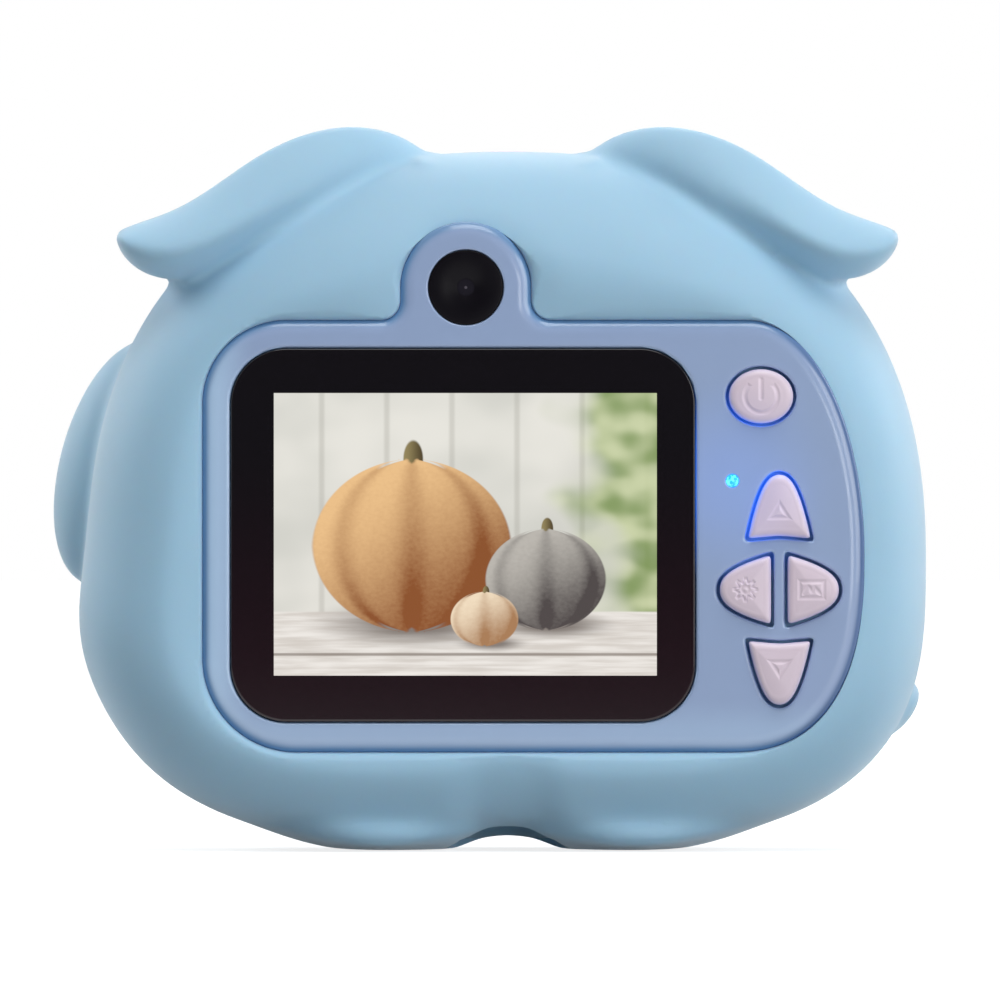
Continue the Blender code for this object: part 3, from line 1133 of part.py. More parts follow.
def make_power_and_sound():
    wrap = rectangle(BATTERY_CENTRE, BATTERY_WIDTH, BATTERY_HEIGHT, BATTERY_RADIUS)
    piece("battery", prism(wrap, BATTERY_REAR, BATTERY_FRONT), CELL_WRAP)
    magnet, rim = disc(SPEAKER_CENTRE, SPEAKER_MAGNET_RADIUS), disc(SPEAKER_CENTRE, SPEAKER_RADIUS)
    step = SPEAKER_FRONT - SPEAKER_RIM
    piece("speaker", stack(
        (magnet, SPEAKER_FRONT - SPEAKER_THICKNESS), (magnet, step), (rim, step), (rim, SPEAKER_FRONT),
    ), BLACK_MATTE)


def make_ribbons():
    """Each ribbon leaves one board square to it, turns in a half loop and meets the main board flat."""
    rear, front = PARTS_REAR + RIBBON_THICKNESS / 2, SENSOR_BOARD_REAR - FACE_GAP - RIBBON_THICKNESS / 2
    low, high = MUZZLE_HEIGHT - FRONT_RIBBON_DROP, MUZZLE_HEIGHT + FRONT_RIBBON_RISE
    reach = low - FRONT_RIBBON_LOOP
    loop = bezier(((front, low), (front, reach), (rear, reach), (rear, low)), RIBBON_STEPS)
    route = [(front, high), *loop, (rear, high)]
    piece("front_camera_ribbon", ribbon(route, 0.0, FRONT_RIBBON_WIDTH), RIBBON_FILM)
    start_y = SELFIE_BOARD_REAR + BOARD_THICKNESS + FACE_GAP + RIBBON_THICKNESS / 2
    start_z = SELFIE_CENTRE[1]
    end_z = BOARD_TOP - SELFIE_BOARD_SIDE / 2
    middle = (start_z + end_z) / 2
    drop = bezier(((start_y, start_z), (start_y, middle), (rear, middle), (rear, end_z)), RIBBON_STEPS)
    piece("selfie_ribbon", ribbon(drop, SELFIE_CENTRE[0], SELFIE_RIBBON_WIDTH), RIBBON_FILM)


def make_leads():
    """Two battery leads from the foot of the cell to the main board."""
    top = BATTERY_CENTRE[1] - BATTERY_HEIGHT / 2 - FIT_GAP - CRADLE_RIB - FACE_GAP
    y0, y1 = BATTERY_REAR - FACE_GAP - LEAD_RADIUS, PARTS_REAR
    start_z = BATTERY_CENTRE[1] - LEAD_START_DROP
    for side, name, finish in ((-1, "battery_lead_red", LEAD_RED), (1, "battery_lead_black", BLACK_MATTE)):
        x = BATTERY_CENTRE[0] + side * LEAD_SPACING / 2
        route = bezier(((y0, start_z), (y0, top), (y1, start_z), (y1, top)), LEAD_STEPS)
        along = np.gradient(route, axis=0)
        levels = []
        for (y, z), (dy, dz) in zip(route, along / np.linalg.norm(along, axis=1)[:, None]):
            ring = disc((0.0, 0.0), LEAD_RADIUS, TINY_SIDES)
            levels.append(np.column_stack([x + ring[:, 0], y - dz * ring[:, 1], z + dy * ring[:, 1]]))
        piece(name, loft(levels), finish)


# Screws

def make_screws():
    for number, centre in enumerate(CASE_POSTS, 1):
        head = disc(centre, CASE_SCREW_HEAD_RADIUS, SMALL_SIDES)
        shank = disc(centre, CASE_SCREW_RADIUS, SMALL_SIDES)
        seat = CASE_SCREW_SEAT + FACE_GAP
        piece(f"case_screw_{number}", stack(
            (head, seat + CASE_SCREW_HEAD_HEIGHT),
            (head, seat),
            (shank, seat),
            (shank, seat - CASE_SCREW_LENGTH),
        ), STEEL)
    for number, (centre, _) in enumerate(board_posts(), 1):
        head = disc(centre, BOARD_SCREW_HEAD_RADIUS, SMALL_SIDES)
        shank = disc(centre, BOARD_SCREW_RADIUS, SMALL_SIDES)
        piece(f"board_screw_{number}", stack(
            (head, PARTS_REAR + BOARD_SCREW_HEAD_HEIGHT), (head, PARTS_REAR),
            (shank, PARTS_REAR), (shank, PARTS_REAR - BOARD_SCREW_LENGTH),
        ), STEEL)


make_sleeve()
make_rear_case()
make_front_case()
make_screen()
make_selfie_camera()
make_keys()
make_shutter()
make_main_board()
make_main_camera()
make_power_and_sound()
make_ribbons()
make_leads()
make_screws()
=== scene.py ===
"""Kids digital camera in a silicone sleeve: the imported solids, dressed with fine pieces and materials."""
import math

import bmesh
import bpy
import numpy as np
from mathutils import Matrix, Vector
from mathutils.geometry import tessellate_polygon


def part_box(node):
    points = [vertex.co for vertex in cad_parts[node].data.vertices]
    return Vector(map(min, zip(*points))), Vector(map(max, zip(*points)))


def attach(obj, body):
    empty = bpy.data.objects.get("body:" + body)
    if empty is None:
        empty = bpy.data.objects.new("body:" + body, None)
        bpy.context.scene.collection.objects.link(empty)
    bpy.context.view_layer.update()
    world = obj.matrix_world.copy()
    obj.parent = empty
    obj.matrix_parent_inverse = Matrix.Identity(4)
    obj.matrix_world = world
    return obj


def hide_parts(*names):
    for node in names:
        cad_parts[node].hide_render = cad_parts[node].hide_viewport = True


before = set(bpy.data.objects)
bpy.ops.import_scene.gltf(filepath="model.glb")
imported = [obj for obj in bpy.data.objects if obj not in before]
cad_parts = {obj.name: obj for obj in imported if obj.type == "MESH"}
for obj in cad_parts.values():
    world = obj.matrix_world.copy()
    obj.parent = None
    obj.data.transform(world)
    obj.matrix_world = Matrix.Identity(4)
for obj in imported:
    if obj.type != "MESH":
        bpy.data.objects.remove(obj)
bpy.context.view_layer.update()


# Rear panel
# The glossy blue face of the rear case, moulded in a slightly see-through plastic. Its edge is rolled
# over and a bump on top carries the small lens. The status lamp's light inside it is a painted glow, and its
# colour holds painted shade.

MM = 0.001
LENS_RING_FRONT = 23.3
ring_low, ring_high = (np.array(corner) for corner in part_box("front_lens_ring"))
AXIS = np.array([(ring_low[0] + ring_high[0]) / 2, ring_high[1] - LENS_RING_FRONT * MM, 0.0])


def node_box(node):
    """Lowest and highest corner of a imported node, in millimetres from the camera's axis."""
    return tuple((np.array(corner) - AXIS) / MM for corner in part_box(node))


def node_centre(node):
    """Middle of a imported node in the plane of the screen, as x and z."""
    low, high = node_box(node)
    return (low + high)[[0, 2]] / 2


def arc(centre, radius, start, end, count=60):
    """Points of a circle: the centre plus the radius times cosine and sine of an angle in degrees."""
    turn = np.radians(np.linspace(start, end, count))
    return np.column_stack([centre[0] + radius * np.cos(turn), centre[1] + radius * np.sin(turn)])


def oval(centre, half_width, half_height, count=240):
    """Points of an ellipse: the centre plus each half size times the cosine or sine of the angle."""
    turn = np.arange(count) * 2 * math.pi / count
    return np.column_stack([centre[0] + half_width * np.cos(turn), centre[1] + half_height * np.sin(turn)])


def quarter(centre, reach, power, start, count=160):
    """A quarter of the curve on which the powers of x over its reach and of z over its reach add to one."""
    turn = np.radians(np.linspace(start, start + 90, count))
    across, up = np.cos(turn), np.sin(turn)
    radius = ((abs(across) / reach[0]) ** power + (abs(up) / reach[1]) ** power) ** (-1 / power)
    return np.column_stack([centre[0] + radius * across, centre[1] + radius * up])


def rounded_box(low, high, radius):
    """A rectangle between two corners, each of its own corners a quarter of a circle."""
    (left, bottom), (right, top) = low, high
    return np.vstack([
        arc((right - radius, top - radius), radius, 0, 90),
        arc((left + radius, top - radius), radius, 90, 180),
        arc((left + radius, bottom + radius), radius, 180, 270),
        arc((right - radius, bottom + radius), radius, 270, 360),
    ])


def even(outline, step):
    """The same closed outline as points that lie one step apart along it."""
    closed = np.vstack([outline, outline[:1]])
    gone = np.concatenate([[0.0], np.cumsum(np.hypot(*np.diff(closed, axis=0).T))])
    along = np.linspace(0, gone[-1], round(gone[-1] / step), endpoint=False)
    return np.column_stack([np.interp(along, gone, closed[:, axis]) for axis in (0, 1)])


def softened(outline, reach):
    """An even outline with its corners rounded: a bell curve of the reach given runs over its points."""
    step = np.hypot(*(outline[1] - outline[0]))
    pitch = np.fft.fftfreq(len(outline), step)
    damping = np.exp(-2 * (math.pi * pitch * reach) ** 2)
    curve = np.fft.ifft(np.fft.fft(outline[:, 0] + 1j * outline[:, 1]) * damping)
    return np.column_stack([curve.real, curve.imag])


def offset(outline, distance):
    """The outline moved outwards along its normals, which are its tangents turned by a right angle."""
    tangent = np.roll(outline, -1, axis=0) - np.roll(outline, 1, axis=0)
    normal = np.column_stack([tangent[:, 1], -tangent[:, 0]])
    normal /= np.linalg.norm(normal, axis=1, keepdims=True)
    return outline + np.asarray(distance)[..., None, None] * normal


def swept(outline, profile):
    """A profile of (outward, depth) pairs carried round an outline: one row of points for each pair."""
    outward, depth = np.array(profile).T
    flat = offset(outline, outward)
    return np.stack([flat[..., 0], np.broadcast_to(depth[:, None], flat.shape[:2]), flat[..., 1]], axis=-1)


def rolled(start, end, count):
    """A quarter of an ellipse between two (outward, depth) pairs, leaving the first one along the depth."""
    turn = np.linspace(0, math.pi / 2, count)[:, None]
    share = np.hstack([1 - np.cos(turn), np.sin(turn)])
    return np.array(start) + share * (np.array(end) - np.array(start))


def strip(rows, columns, start=0):
    """Quads between the rows of a grid whose columns close round on themselves."""
    index = np.arange(rows * columns).reshape(rows, columns) + start
    after = np.roll(index, -1, axis=1)
    return np.stack([index[:-1], after[:-1], after[1:], index[1:]], axis=-1).reshape(-1, 4)


def solid(rows):
    """A closed part from rows of points: quads between them, and one face over each end row."""
    count, columns = rows.shape[:2]
    ends = np.stack([np.arange(columns), np.arange(columns) + (count - 1) * columns])
    return rows.reshape(-1, 3), [strip(count, columns), ends]


def plate(rim, holes):
    """A flat plate with holes: rows of points round its rim, from back to front, and round each hole,
    from front to back, with triangles over the flats between the end rows."""
    loops = [rim, *holes]
    starts = np.cumsum([0] + [len(rows) * rows.shape[1] for rows in loops])
    faces = [strip(len(rows), rows.shape[1], start) for rows, start in zip(loops, starts)]
    for front in (True, False):
        picks = [len(rows) - 1 if (rows is rim) == front else 0 for rows in loops]
        flat = [rows[pick].tolist() for rows, pick in zip(loops, picks)]
        index = np.concatenate([
            np.arange(rows.shape[1]) + start + pick * rows.shape[1]
            for rows, start, pick in zip(loops, starts, picks)
        ])
        faces.append(index[np.array(tessellate_polygon(flat))])
    return np.vstack([rows.reshape(-1, 3) for rows in loops]), faces


def piece(name, parts, finish, replaces=(), body="camera_body", sharp=40.0):
    """One object from parts of (points in millimetres, arrays of faces), in place, riding on a body."""
    starts = np.cumsum([0] + [len(points) for points, _ in parts])
    faces = [(array + start).tolist() for (_, arrays), start in zip(parts, starts) for array in arrays]
    mesh = bpy.data.meshes.new(name)
    points = np.vstack([points for points, _ in parts]) * MM + AXIS
    mesh.from_pydata(points, [], [face for group in faces for face in group])
    shaped = bmesh.new()
    shaped.from_mesh(mesh)
    bmesh.ops.remove_doubles(shaped, verts=shaped.verts, dist=1e-7)
    bmesh.ops.recalc_face_normals(shaped, faces=shaped.faces)
    shaped.to_mesh(mesh)
    shaped.free()
    mesh.shade_smooth()
    mesh.set_sharp_from_angle(angle=math.radians(sharp))
    mesh.materials.append(finish)
    made = bpy.data.objects.new(name, mesh)
    bpy.context.scene.collection.objects.link(made)
    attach(made, body)
    if replaces:
        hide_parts(*replaces)
    return made


def connect(node, sockets):
    """Links sockets of a node to others, or sets them to values."""
    for key, value in sockets.items():
        if isinstance(value, bpy.types.NodeSocket):
            node.id_data.links.new(value, node.inputs[key])
        else:
            node.inputs[key].default_value = value


def add_node(kind, sockets, **settings):
    """Outputs of a shader node with its settings made, in the tree of the sockets that it is linked to."""
    tree = next(value.id_data for value in sockets.values() if isinstance(value, bpy.types.NodeSocket))
    made = tree.nodes.new("ShaderNode" + kind)
    for key, value in settings.items():
        setattr(made, key, value)
    connect(made, sockets)
    return made.outputs


def dress(tree, **sockets):
    """Connects sockets of a material's shader, named with underscores for spaces."""
    connect(tree.nodes["Principled BSDF"], {key.replace("_", " "): value for key, value in sockets.items()})


def base_colour(tree):
    """The socket that gives a material's shader its colour."""
    return tree.nodes["Principled BSDF"].inputs["Base Color"].links[0].from_socket


def calc(operation, *values):
    """The result of a Math node."""
    return add_node("Math", dict(enumerate(values)), operation=operation)[0]


def mixed(share, first, second):
    """Two colours mixed by a share."""
    return add_node("Mix", {0: share, 6: first, 7: second}, data_type="RGBA")[2]


def scaled(colour, share):
    """A colour times a share."""
    return add_node("VectorMath", {0: colour, "Scale": share}, operation="SCALE")[0]


def eased(value, start, end, low=0.0, high=1.0):
    """A value that goes smoothly from low to high while another goes from start to end."""
    given = {0: value, 1: start, 2: end, 3: low, 4: high}
    return add_node("MapRange", given, interpolation_type="SMOOTHSTEP")[0]


def noise(vector, scale, detail):
    """The value of a noise texture."""
    return add_node("TexNoise", {"Vector": vector, "Scale": scale, "Detail": detail})[0]


def place_on(tree):
    """The place on an object, from its origin."""
    return tree.nodes.new("ShaderNodeTexCoord").outputs["Object"]


def parted(vector):
    """The x, y and z of a vector."""
    return add_node("SeparateXYZ", {0: vector})


def away_from(place, centre):
    """The distance of a place from a centre that is given in millimetres from the camera's axis."""
    given = {0: place, 1: (np.array(centre) * MM + AXIS).tolist()}
    return add_node("VectorMath", given, operation="DISTANCE")["Value"]


def between(value, axis, start, end, low=0.0, high=1.0):
    """A value that goes from low to high between two places on an axis, in millimetres from the camera's."""
    return eased(value, start * MM + AXIS[axis], end * MM + AXIS[axis], low, high)


def tone(red, green, blue):
    """A colour as the screen shows it, 0 to 255, in the linear values that a shader takes."""
    share = np.array([red, green, blue]) / 255
    linear = np.where(share > 0.04045, ((share + 0.055) / 1.055) ** 2.4, share / 12.92)
    return (*linear.tolist(), 1.0)


def node_group(name, inputs, outputs):
    """An empty node group with named sockets, its input sockets and its output node."""
    group = bpy.data.node_groups.new(name, "ShaderNodeTree")
    for side, sockets in (("INPUT", inputs), ("OUTPUT", outputs)):
        for key, kind in sockets.items():
            group.interface.new_socket(key, in_out=side, socket_type="NodeSocket" + kind)
    return group, group.nodes.new("NodeGroupInput").outputs, group.nodes.new("NodeGroupOutput")


DRIFT_SCALE, RUB_SCALE = 110.0, 420.0
skin_inputs = {"Vector": "Vector", "Colour": "Color"}
skin_inputs.update(Drift="Float", Roughness="Float", Grain="Float")
skin_outputs = {"Colour": "Color", "Roughness": "Float", "Height": "Float"}
moulded_skin, given, result = node_group("moulded_skin", skin_inputs, skin_outputs)
slow = calc("SUBTRACT", noise(given["Vector"], DRIFT_SCALE, 3.0), 0.5)
tint = calc("MULTIPLY_ADD", slow, given["Drift"], 1.0)
rubbed = calc("MULTIPLY_ADD", noise(given["Vector"], RUB_SCALE, 5.0), 0.3, 0.85)
fineness = calc("DIVIDE", 1 / MM, given["Grain"])
connect(result, {
    "Colour": scaled(given["Colour"], tint),
    "Roughness": calc("MULTIPLY", rubbed, given["Roughness"]),
    "Height": noise(given["Vector"], fineness, 3.0),
})


def moulded(name, colour, roughness, grain, depth, drift, **plain):
    """A moulded plastic or rubber: the skin group's colour, roughness and height on one shader, with grains
    of a size and depth in millimetres; the other values are set on the shader's own sockets."""
    finish = bpy.data.materials.new(name)
    finish.use_nodes = True
    tree = finish.node_tree
    place = place_on(tree)
    values = {"Vector": place, "Colour": colour, "Drift": drift, "Roughness": roughness, "Grain": grain}
    skin = add_node("Group", values, node_tree=moulded_skin)
    bump = add_node("Bump", {"Height": skin["Height"], "Distance": depth * MM})[0]
    dress(tree, Base_Color=skin["Colour"], Roughness=skin["Roughness"], Normal=bump, **plain)
    return finish


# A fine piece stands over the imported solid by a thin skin.
SKIN = 0.06
PANEL_LEFT, PANEL_RIGHT = -32.5, 38.0
PANEL_BOTTOM, PANEL_TOP, PANEL_WIDEST = 10.7, 56.7, 31.6
PANEL_FACE, PANEL_BACK = -14.7 - SKIN, -12.45
PANEL_ROLL_WIDTH, PANEL_ROLL_DEPTH = 1.6, 0.95
TOP_LEFT_RADIUS, LOW_LEFT_RADIUS = 8.9, 10.0
UPPER_CURVE, UPPER_POWER = 12.6, 2.05
LOWER_CURVE, LOWER_POWER = 14.5, 2.5
BUMP_RADIUS, BUMP_FILLET = 6.95, 2.1
OUTLINE_STEP = 0.22
selfie_low, selfie_high = node_box("selfie_window")
SELFIE = node_centre("selfie_window")
fillet_reach = BUMP_RADIUS + BUMP_FILLET
fillet_level = PANEL_TOP + BUMP_FILLET
upper_centre = (PANEL_RIGHT - UPPER_CURVE, PANEL_WIDEST)
lower_centre = (PANEL_RIGHT - LOWER_CURVE, PANEL_WIDEST)
panel_outline = even(np.vstack([
    quarter(lower_centre, (LOWER_CURVE, PANEL_WIDEST - PANEL_BOTTOM), LOWER_POWER, -90),
    quarter(upper_centre, (UPPER_CURVE, PANEL_TOP - PANEL_WIDEST), UPPER_POWER, 0),
    arc((SELFIE[0] + fillet_reach, fillet_level), BUMP_FILLET, 270, 180),
    arc(SELFIE, BUMP_RADIUS, 0, 180, 160),
    arc((SELFIE[0] - fillet_reach, fillet_level), BUMP_FILLET, 0, -90),
    arc((PANEL_LEFT + TOP_LEFT_RADIUS, PANEL_TOP - TOP_LEFT_RADIUS), TOP_LEFT_RADIUS, 90, 180),
    arc((PANEL_LEFT + LOW_LEFT_RADIUS, PANEL_BOTTOM + LOW_LEFT_RADIUS), LOW_LEFT_RADIUS, 180, 270),
]), OUTLINE_STEP)

KEY_HALF_BASE, KEY_LENGTH, KEY_HOLLOW = 3.85, 7.75, 0.35
SIDE_HALF_BASE, SIDE_LENGTH, SIDE_SPLIT = 4.25, 6.35, 0.95
KEY_OFFSET, KEY_ARCH, KEY_CORNER = 5.0, 2.5, 0.42
KEY_STEP, KEY_FINE_STEP = 0.1, 0.06
POWER_HALF_WIDTH, POWER_HALF_HEIGHT = 3.85, 3.3
up_top, down_bottom = node_box("up_key")[1][2], node_box("down_key")[0][2]
PAD = np.array([node_centre("up_key")[0], (up_top + down_bottom) / 2])
POWER = node_centre("power_key")


def petal(half_base, length, hollow, turn, place):
    """A key's outline: two arched sides, on which height falls with a power of the way from the middle, on a
    slightly hollow base, turned by quarter turns and moved to its place."""
    across = half_base * np.cos(np.linspace(0, math.pi, 400))
    sides = np.column_stack([across, length * (1 - abs(across / half_base) ** KEY_ARCH)])
    outline = softened(even(np.vstack([sides, [[0.0, hollow]]]), KEY_FINE_STEP), KEY_CORNER)
    quarter_turn = np.array([[0, 1], [-1, 0]])
    return even(outline, KEY_STEP) @ np.linalg.matrix_power(quarter_turn, turn) + place


key_holes = {
    "power": even(oval(POWER, POWER_HALF_WIDTH, POWER_HALF_HEIGHT), KEY_STEP),
    "up": petal(KEY_HALF_BASE, KEY_LENGTH, KEY_HOLLOW, 0, PAD + (0, KEY_OFFSET)),
    "left": petal(SIDE_HALF_BASE, SIDE_LENGTH, 0.0, 1, PAD - (SIDE_SPLIT / 2, 0)),
    "down": petal(KEY_HALF_BASE, KEY_LENGTH, KEY_HOLLOW, 2, PAD - (0, KEY_OFFSET)),
    "right": petal(SIDE_HALF_BASE, SIDE_LENGTH, 0.0, 3, PAD + (SIDE_SPLIT / 2, 0)),
}

HOLE_TRIM, HOLE_FLAT, RIM_FLAT = 0.12, 0.12, 0.08
KEY_HOLE_EDGE, WINDOW_HOLE_EDGE, SELFIE_HOLE_EDGE, LAMP_HOLE_EDGE = 0.3, 0.4, 0.2, 0.12
SEAT_GAP = 0.08
WINDOW_RADIUS = 5.9
LAMP_HOLE_RADIUS = 0.72
window_low, window_high = node_box("screen_window")
LAMP = node_centre("led_light_pipe")
window_outline = even(rounded_box(window_low[[0, 2]], window_high[[0, 2]], WINDOW_RADIUS), OUTLINE_STEP)
selfie_outline = oval(SELFIE, selfie_high[0] - SELFIE[0], selfie_high[2] - SELFIE[1])


def hole_rows(outline, edge):
    """Rows round a hole: a narrow flat, an edge rolled over by the radius given, and the wall to the back."""
    over = rolled((0.0, PANEL_FACE + edge), (edge, PANEL_FACE), 6)[::-1]
    return swept(outline, [(edge + HOLE_FLAT, PANEL_FACE), *over, (0.0, PANEL_BACK)])


roll = rolled((SKIN, PANEL_FACE + PANEL_ROLL_DEPTH), (-PANEL_ROLL_WIDTH, PANEL_FACE), 16)
rim = [(SKIN, PANEL_BACK), *roll, (-PANEL_ROLL_WIDTH - RIM_FLAT, PANEL_FACE)]
panel_holes = [hole_rows(offset(outline, -HOLE_TRIM), KEY_HOLE_EDGE) for outline in key_holes.values()]
panel_holes.append(hole_rows(offset(window_outline, SEAT_GAP), WINDOW_HOLE_EDGE))
panel_holes.append(hole_rows(offset(selfie_outline, SEAT_GAP), SELFIE_HOLE_EDGE))
panel_holes.append(hole_rows(oval(LAMP, LAMP_HOLE_RADIUS, LAMP_HOLE_RADIUS, 48), LAMP_HOLE_EDGE))

# Painted light: the status lamp's light inside the plastic is painted on as emission, a glow on walls and
# face that fades away from the lamp.
GLOW_START, GLOW_END, FACE_GLOW_START = 2.5 * MM, 12.0 * MM, 0.5 * MM
WALL_GLOW, FACE_GLOW = 0.6, 0.17
glow_inputs = {"Vector": "Vector", "Normal": "Vector", "Far": "Float"}
painted_lamp_glow, given, result = node_group("painted_lamp_glow", glow_inputs, {"Colour": "Color"})
away = away_from(given["Vector"], (LAMP[0], PANEL_FACE, LAMP[1]))
wall = eased(calc("ABSOLUTE", parted(given["Normal"])["Y"]), 0.5, 0.96, 1.0, 0.0)
near_light = eased(away, GLOW_START, GLOW_END, WALL_GLOW, given["Far"])
wall_light = calc("MULTIPLY", wall, near_light)
face_light = eased(away, FACE_GLOW_START, GLOW_END, FACE_GLOW, 0.0)
connect(result, {"Colour": scaled(tone(20, 108, 240)[:3], calc("ADD", wall_light, face_light))})


def with_painted_lamp_glow(finish, far):
    """Adds a painted glow of the lamp's light, as it would show inside the plastic, to a material as
    emission; far away a share of it stays.
    """
    tree = finish.node_tree
    facing = tree.nodes.new("ShaderNodeNewGeometry").outputs["Normal"]
    values = {"Vector": place_on(tree), "Normal": facing, "Far": far}
    dress(tree, Emission_Color=add_node("Group", values, node_tree=painted_lamp_glow)[0], Emission_Strength=1.0)
    return finish


panel_blue = moulded("panel_blue", tone(188, 220, 252), 0.24, 0.9, 0.001, 0.03, IOR=1.5, Coat_Weight=0.3)
with_painted_lamp_glow(panel_blue, 0.0)
tree = panel_blue.node_tree
across, depth, up = parted(place_on(tree))
# Painted shade: the face is painted darker right of the left strip and above the bottom strip; those strips
# keep a lighter, painted lit tone.
low = between(up, 2, PANEL_BOTTOM + 2, PANEL_BOTTOM + 6, 0.6, 1.0)
painted_shade_share = calc("MULTIPLY", low, between(across, 0, PANEL_LEFT, PANEL_LEFT + 6))
colour = mixed(painted_shade_share, base_colour(tree), tone(159, 181, 219))
# Painted shade: below the face, in the rolled edge and the hole walls, the colour is painted darker as in a
# shaded groove, darker still towards the right edge.
right_shade_share = between(across, 0, PANEL_RIGHT - 14, PANEL_RIGHT - 4)
sunk_shade_colour = mixed(right_shade_share, tone(104, 146, 192), tone(74, 108, 160))
sunk_shade = between(depth, 1, PANEL_FACE + 0.03, PANEL_FACE + 0.35)
colour = mixed(sunk_shade, colour, sunk_shade_colour)
# Painted shade: deep down in the holes the walls are painted dark navy.
pit_shade = between(depth, 1, PANEL_FACE + 0.9, PANEL_FACE + 1.4)
dress(tree, Base_Color=mixed(pit_shade, colour, tone(44, 52, 140)))
piece("rear_panel", [plate(swept(panel_outline, rim), panel_holes)], panel_blue)


# Hard case
# Two injection moulded shells that meet at the middle and are held by four screws. Only a little of
# them shows, through the openings of the sleeve.

case_blue = moulded("case_blue", tone(150, 178, 212), 0.42, 0.6, 0.004, 0.08)


def refinish(finish, *nodes):
    """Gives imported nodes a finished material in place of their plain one."""
    for node in nodes:
        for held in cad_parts[node].material_slots:
            held.material = finish


refinish(case_blue, "rear_case", "front_case")


# Screen
# A black printed window of clear plastic, glued into the panel over the lit display. The picture on it
# is a still life: three gourds on a board table, before a white plank wall and blurred leaves.

PICTURE_WIDTH, PICTURE_HEIGHT = 40.8, 30.1
PICTURE_CENTRE = (-4.5, 33.9)
WINDOW_EDGE, WINDOW_FLAT = 0.12, 0.15
front, back = window_low[1], window_high[1]
window_profile = [
    (0.0, back),
    *rolled((0.0, front + WINDOW_EDGE), (-WINDOW_EDGE, front), 7),
    (-WINDOW_EDGE - WINDOW_FLAT, front),
]
window_black = moulded("window_black", tone(18, 15, 21), 0.06, 1.2, 0.0002, 0.1, IOR=1.49)
tree = window_black.node_tree
picture_low = np.array([PICTURE_CENTRE[0] - PICTURE_WIDTH / 2, 0, PICTURE_CENTRE[1] - PICTURE_HEIGHT / 2])
picture_low = picture_low * MM + AXIS * (1, 0, 1)
picture_size = np.array([PICTURE_WIDTH * MM, 1.0, PICTURE_HEIGHT * MM])
on_picture = add_node("Mapping", {
    "Vector": place_on(tree),
    "Location": (-picture_low / picture_size).tolist(),
    "Scale": (1 / picture_size).tolist(),
})[0]
across, _, up = parted(on_picture)


def spread(x, z, half_width, half_height):
    """The distance of a place on the picture from a centre, across and up, each over a half size."""
    here_x = calc("DIVIDE", calc("SUBTRACT", across, x), half_width / PICTURE_WIDTH)
    here_z = calc("DIVIDE", calc("SUBTRACT", up, z), half_height / PICTURE_HEIGHT)
    return here_x, here_z


def length(first, second):
    """The root of the sum of two squares."""
    return calc("SQRT", calc("MULTIPLY_ADD", first, first, calc("MULTIPLY", second, second)))


def mottled(vector, scale, detail, first, second):
    """Two colours mixed by a noise."""
    return mixed(eased(noise(vector, scale, detail), 0.3, 0.7), first, second)


def blot(under, x, z, half_width, half_height, colour, strength):
    """A soft oval of a colour, strongest in its middle."""
    share = eased(length(*spread(x, z, half_width, half_height)), 0.2, 1.0, strength, 0.0)
    return mixed(share, under, colour)


def gourd(under, x, z, half_width, half_height, ribs, lit_tone, dark_tone):
    """A ribbed gourd on the picture: an oval, shaded by how far each place leans to a light at the upper
    left, with dark grooves where the cosine of a multiple of its longitude is near one."""
    here_x, here_z = spread(x, z, half_width, half_height)
    rest = calc("SUBTRACT", 1.0, calc("MULTIPLY", here_z, here_z))
    waist = calc("SQRT", calc("MAXIMUM", rest, 0.02))
    longitude = calc("ARCSINE", calc("DIVIDE", here_x, waist))
    turn = calc("MULTIPLY", longitude, ribs)
    groove = calc("POWER", calc("ABSOLUTE", calc("COSINE", turn)), 5.0)
    lobe = calc("MULTIPLY_ADD", calc("ABSOLUTE", calc("SINE", turn)), 0.05, -0.05)
    lobe = calc("MULTIPLY", lobe, calc("ABSOLUTE", here_z))
    away = calc("SUBTRACT", length(here_x, here_z), lobe)
    lean = calc("MULTIPLY_ADD", here_x, -0.42, calc("MULTIPLY", here_z, 0.55))
    speckle = calc("MULTIPLY_ADD", noise(on_picture, 90.0, 4.0), 0.24, -0.12)
    light = calc("ADD", eased(lean, -0.75, 0.62), speckle)
    light = calc("MULTIPLY_ADD", groove, -0.3, light)
    skin = mixed(calc("MAXIMUM", light, 0.0), dark_tone, lit_tone)
    base = z - 0.9 * half_height / PICTURE_HEIGHT
    under = blot(under, x + 0.02, base, half_width * 1.25, half_height * 0.34, tone(92, 82, 74), 0.8)
    stalk_top = z + half_height / PICTURE_HEIGHT
    stalk_x, stalk_z = spread(x + 0.004, stalk_top, half_width * 0.1, half_height * 0.22)
    stalk = mixed(eased(stalk_x, -1.0, 1.0), tone(150, 136, 92), tone(84, 72, 44))
    under = mixed(eased(length(stalk_x, stalk_z), 0.9, 1.08, 1.0, 0.0), under, stalk)
    return mixed(eased(away, 0.98, 1.02, 1.0, 0.0), under, skin)


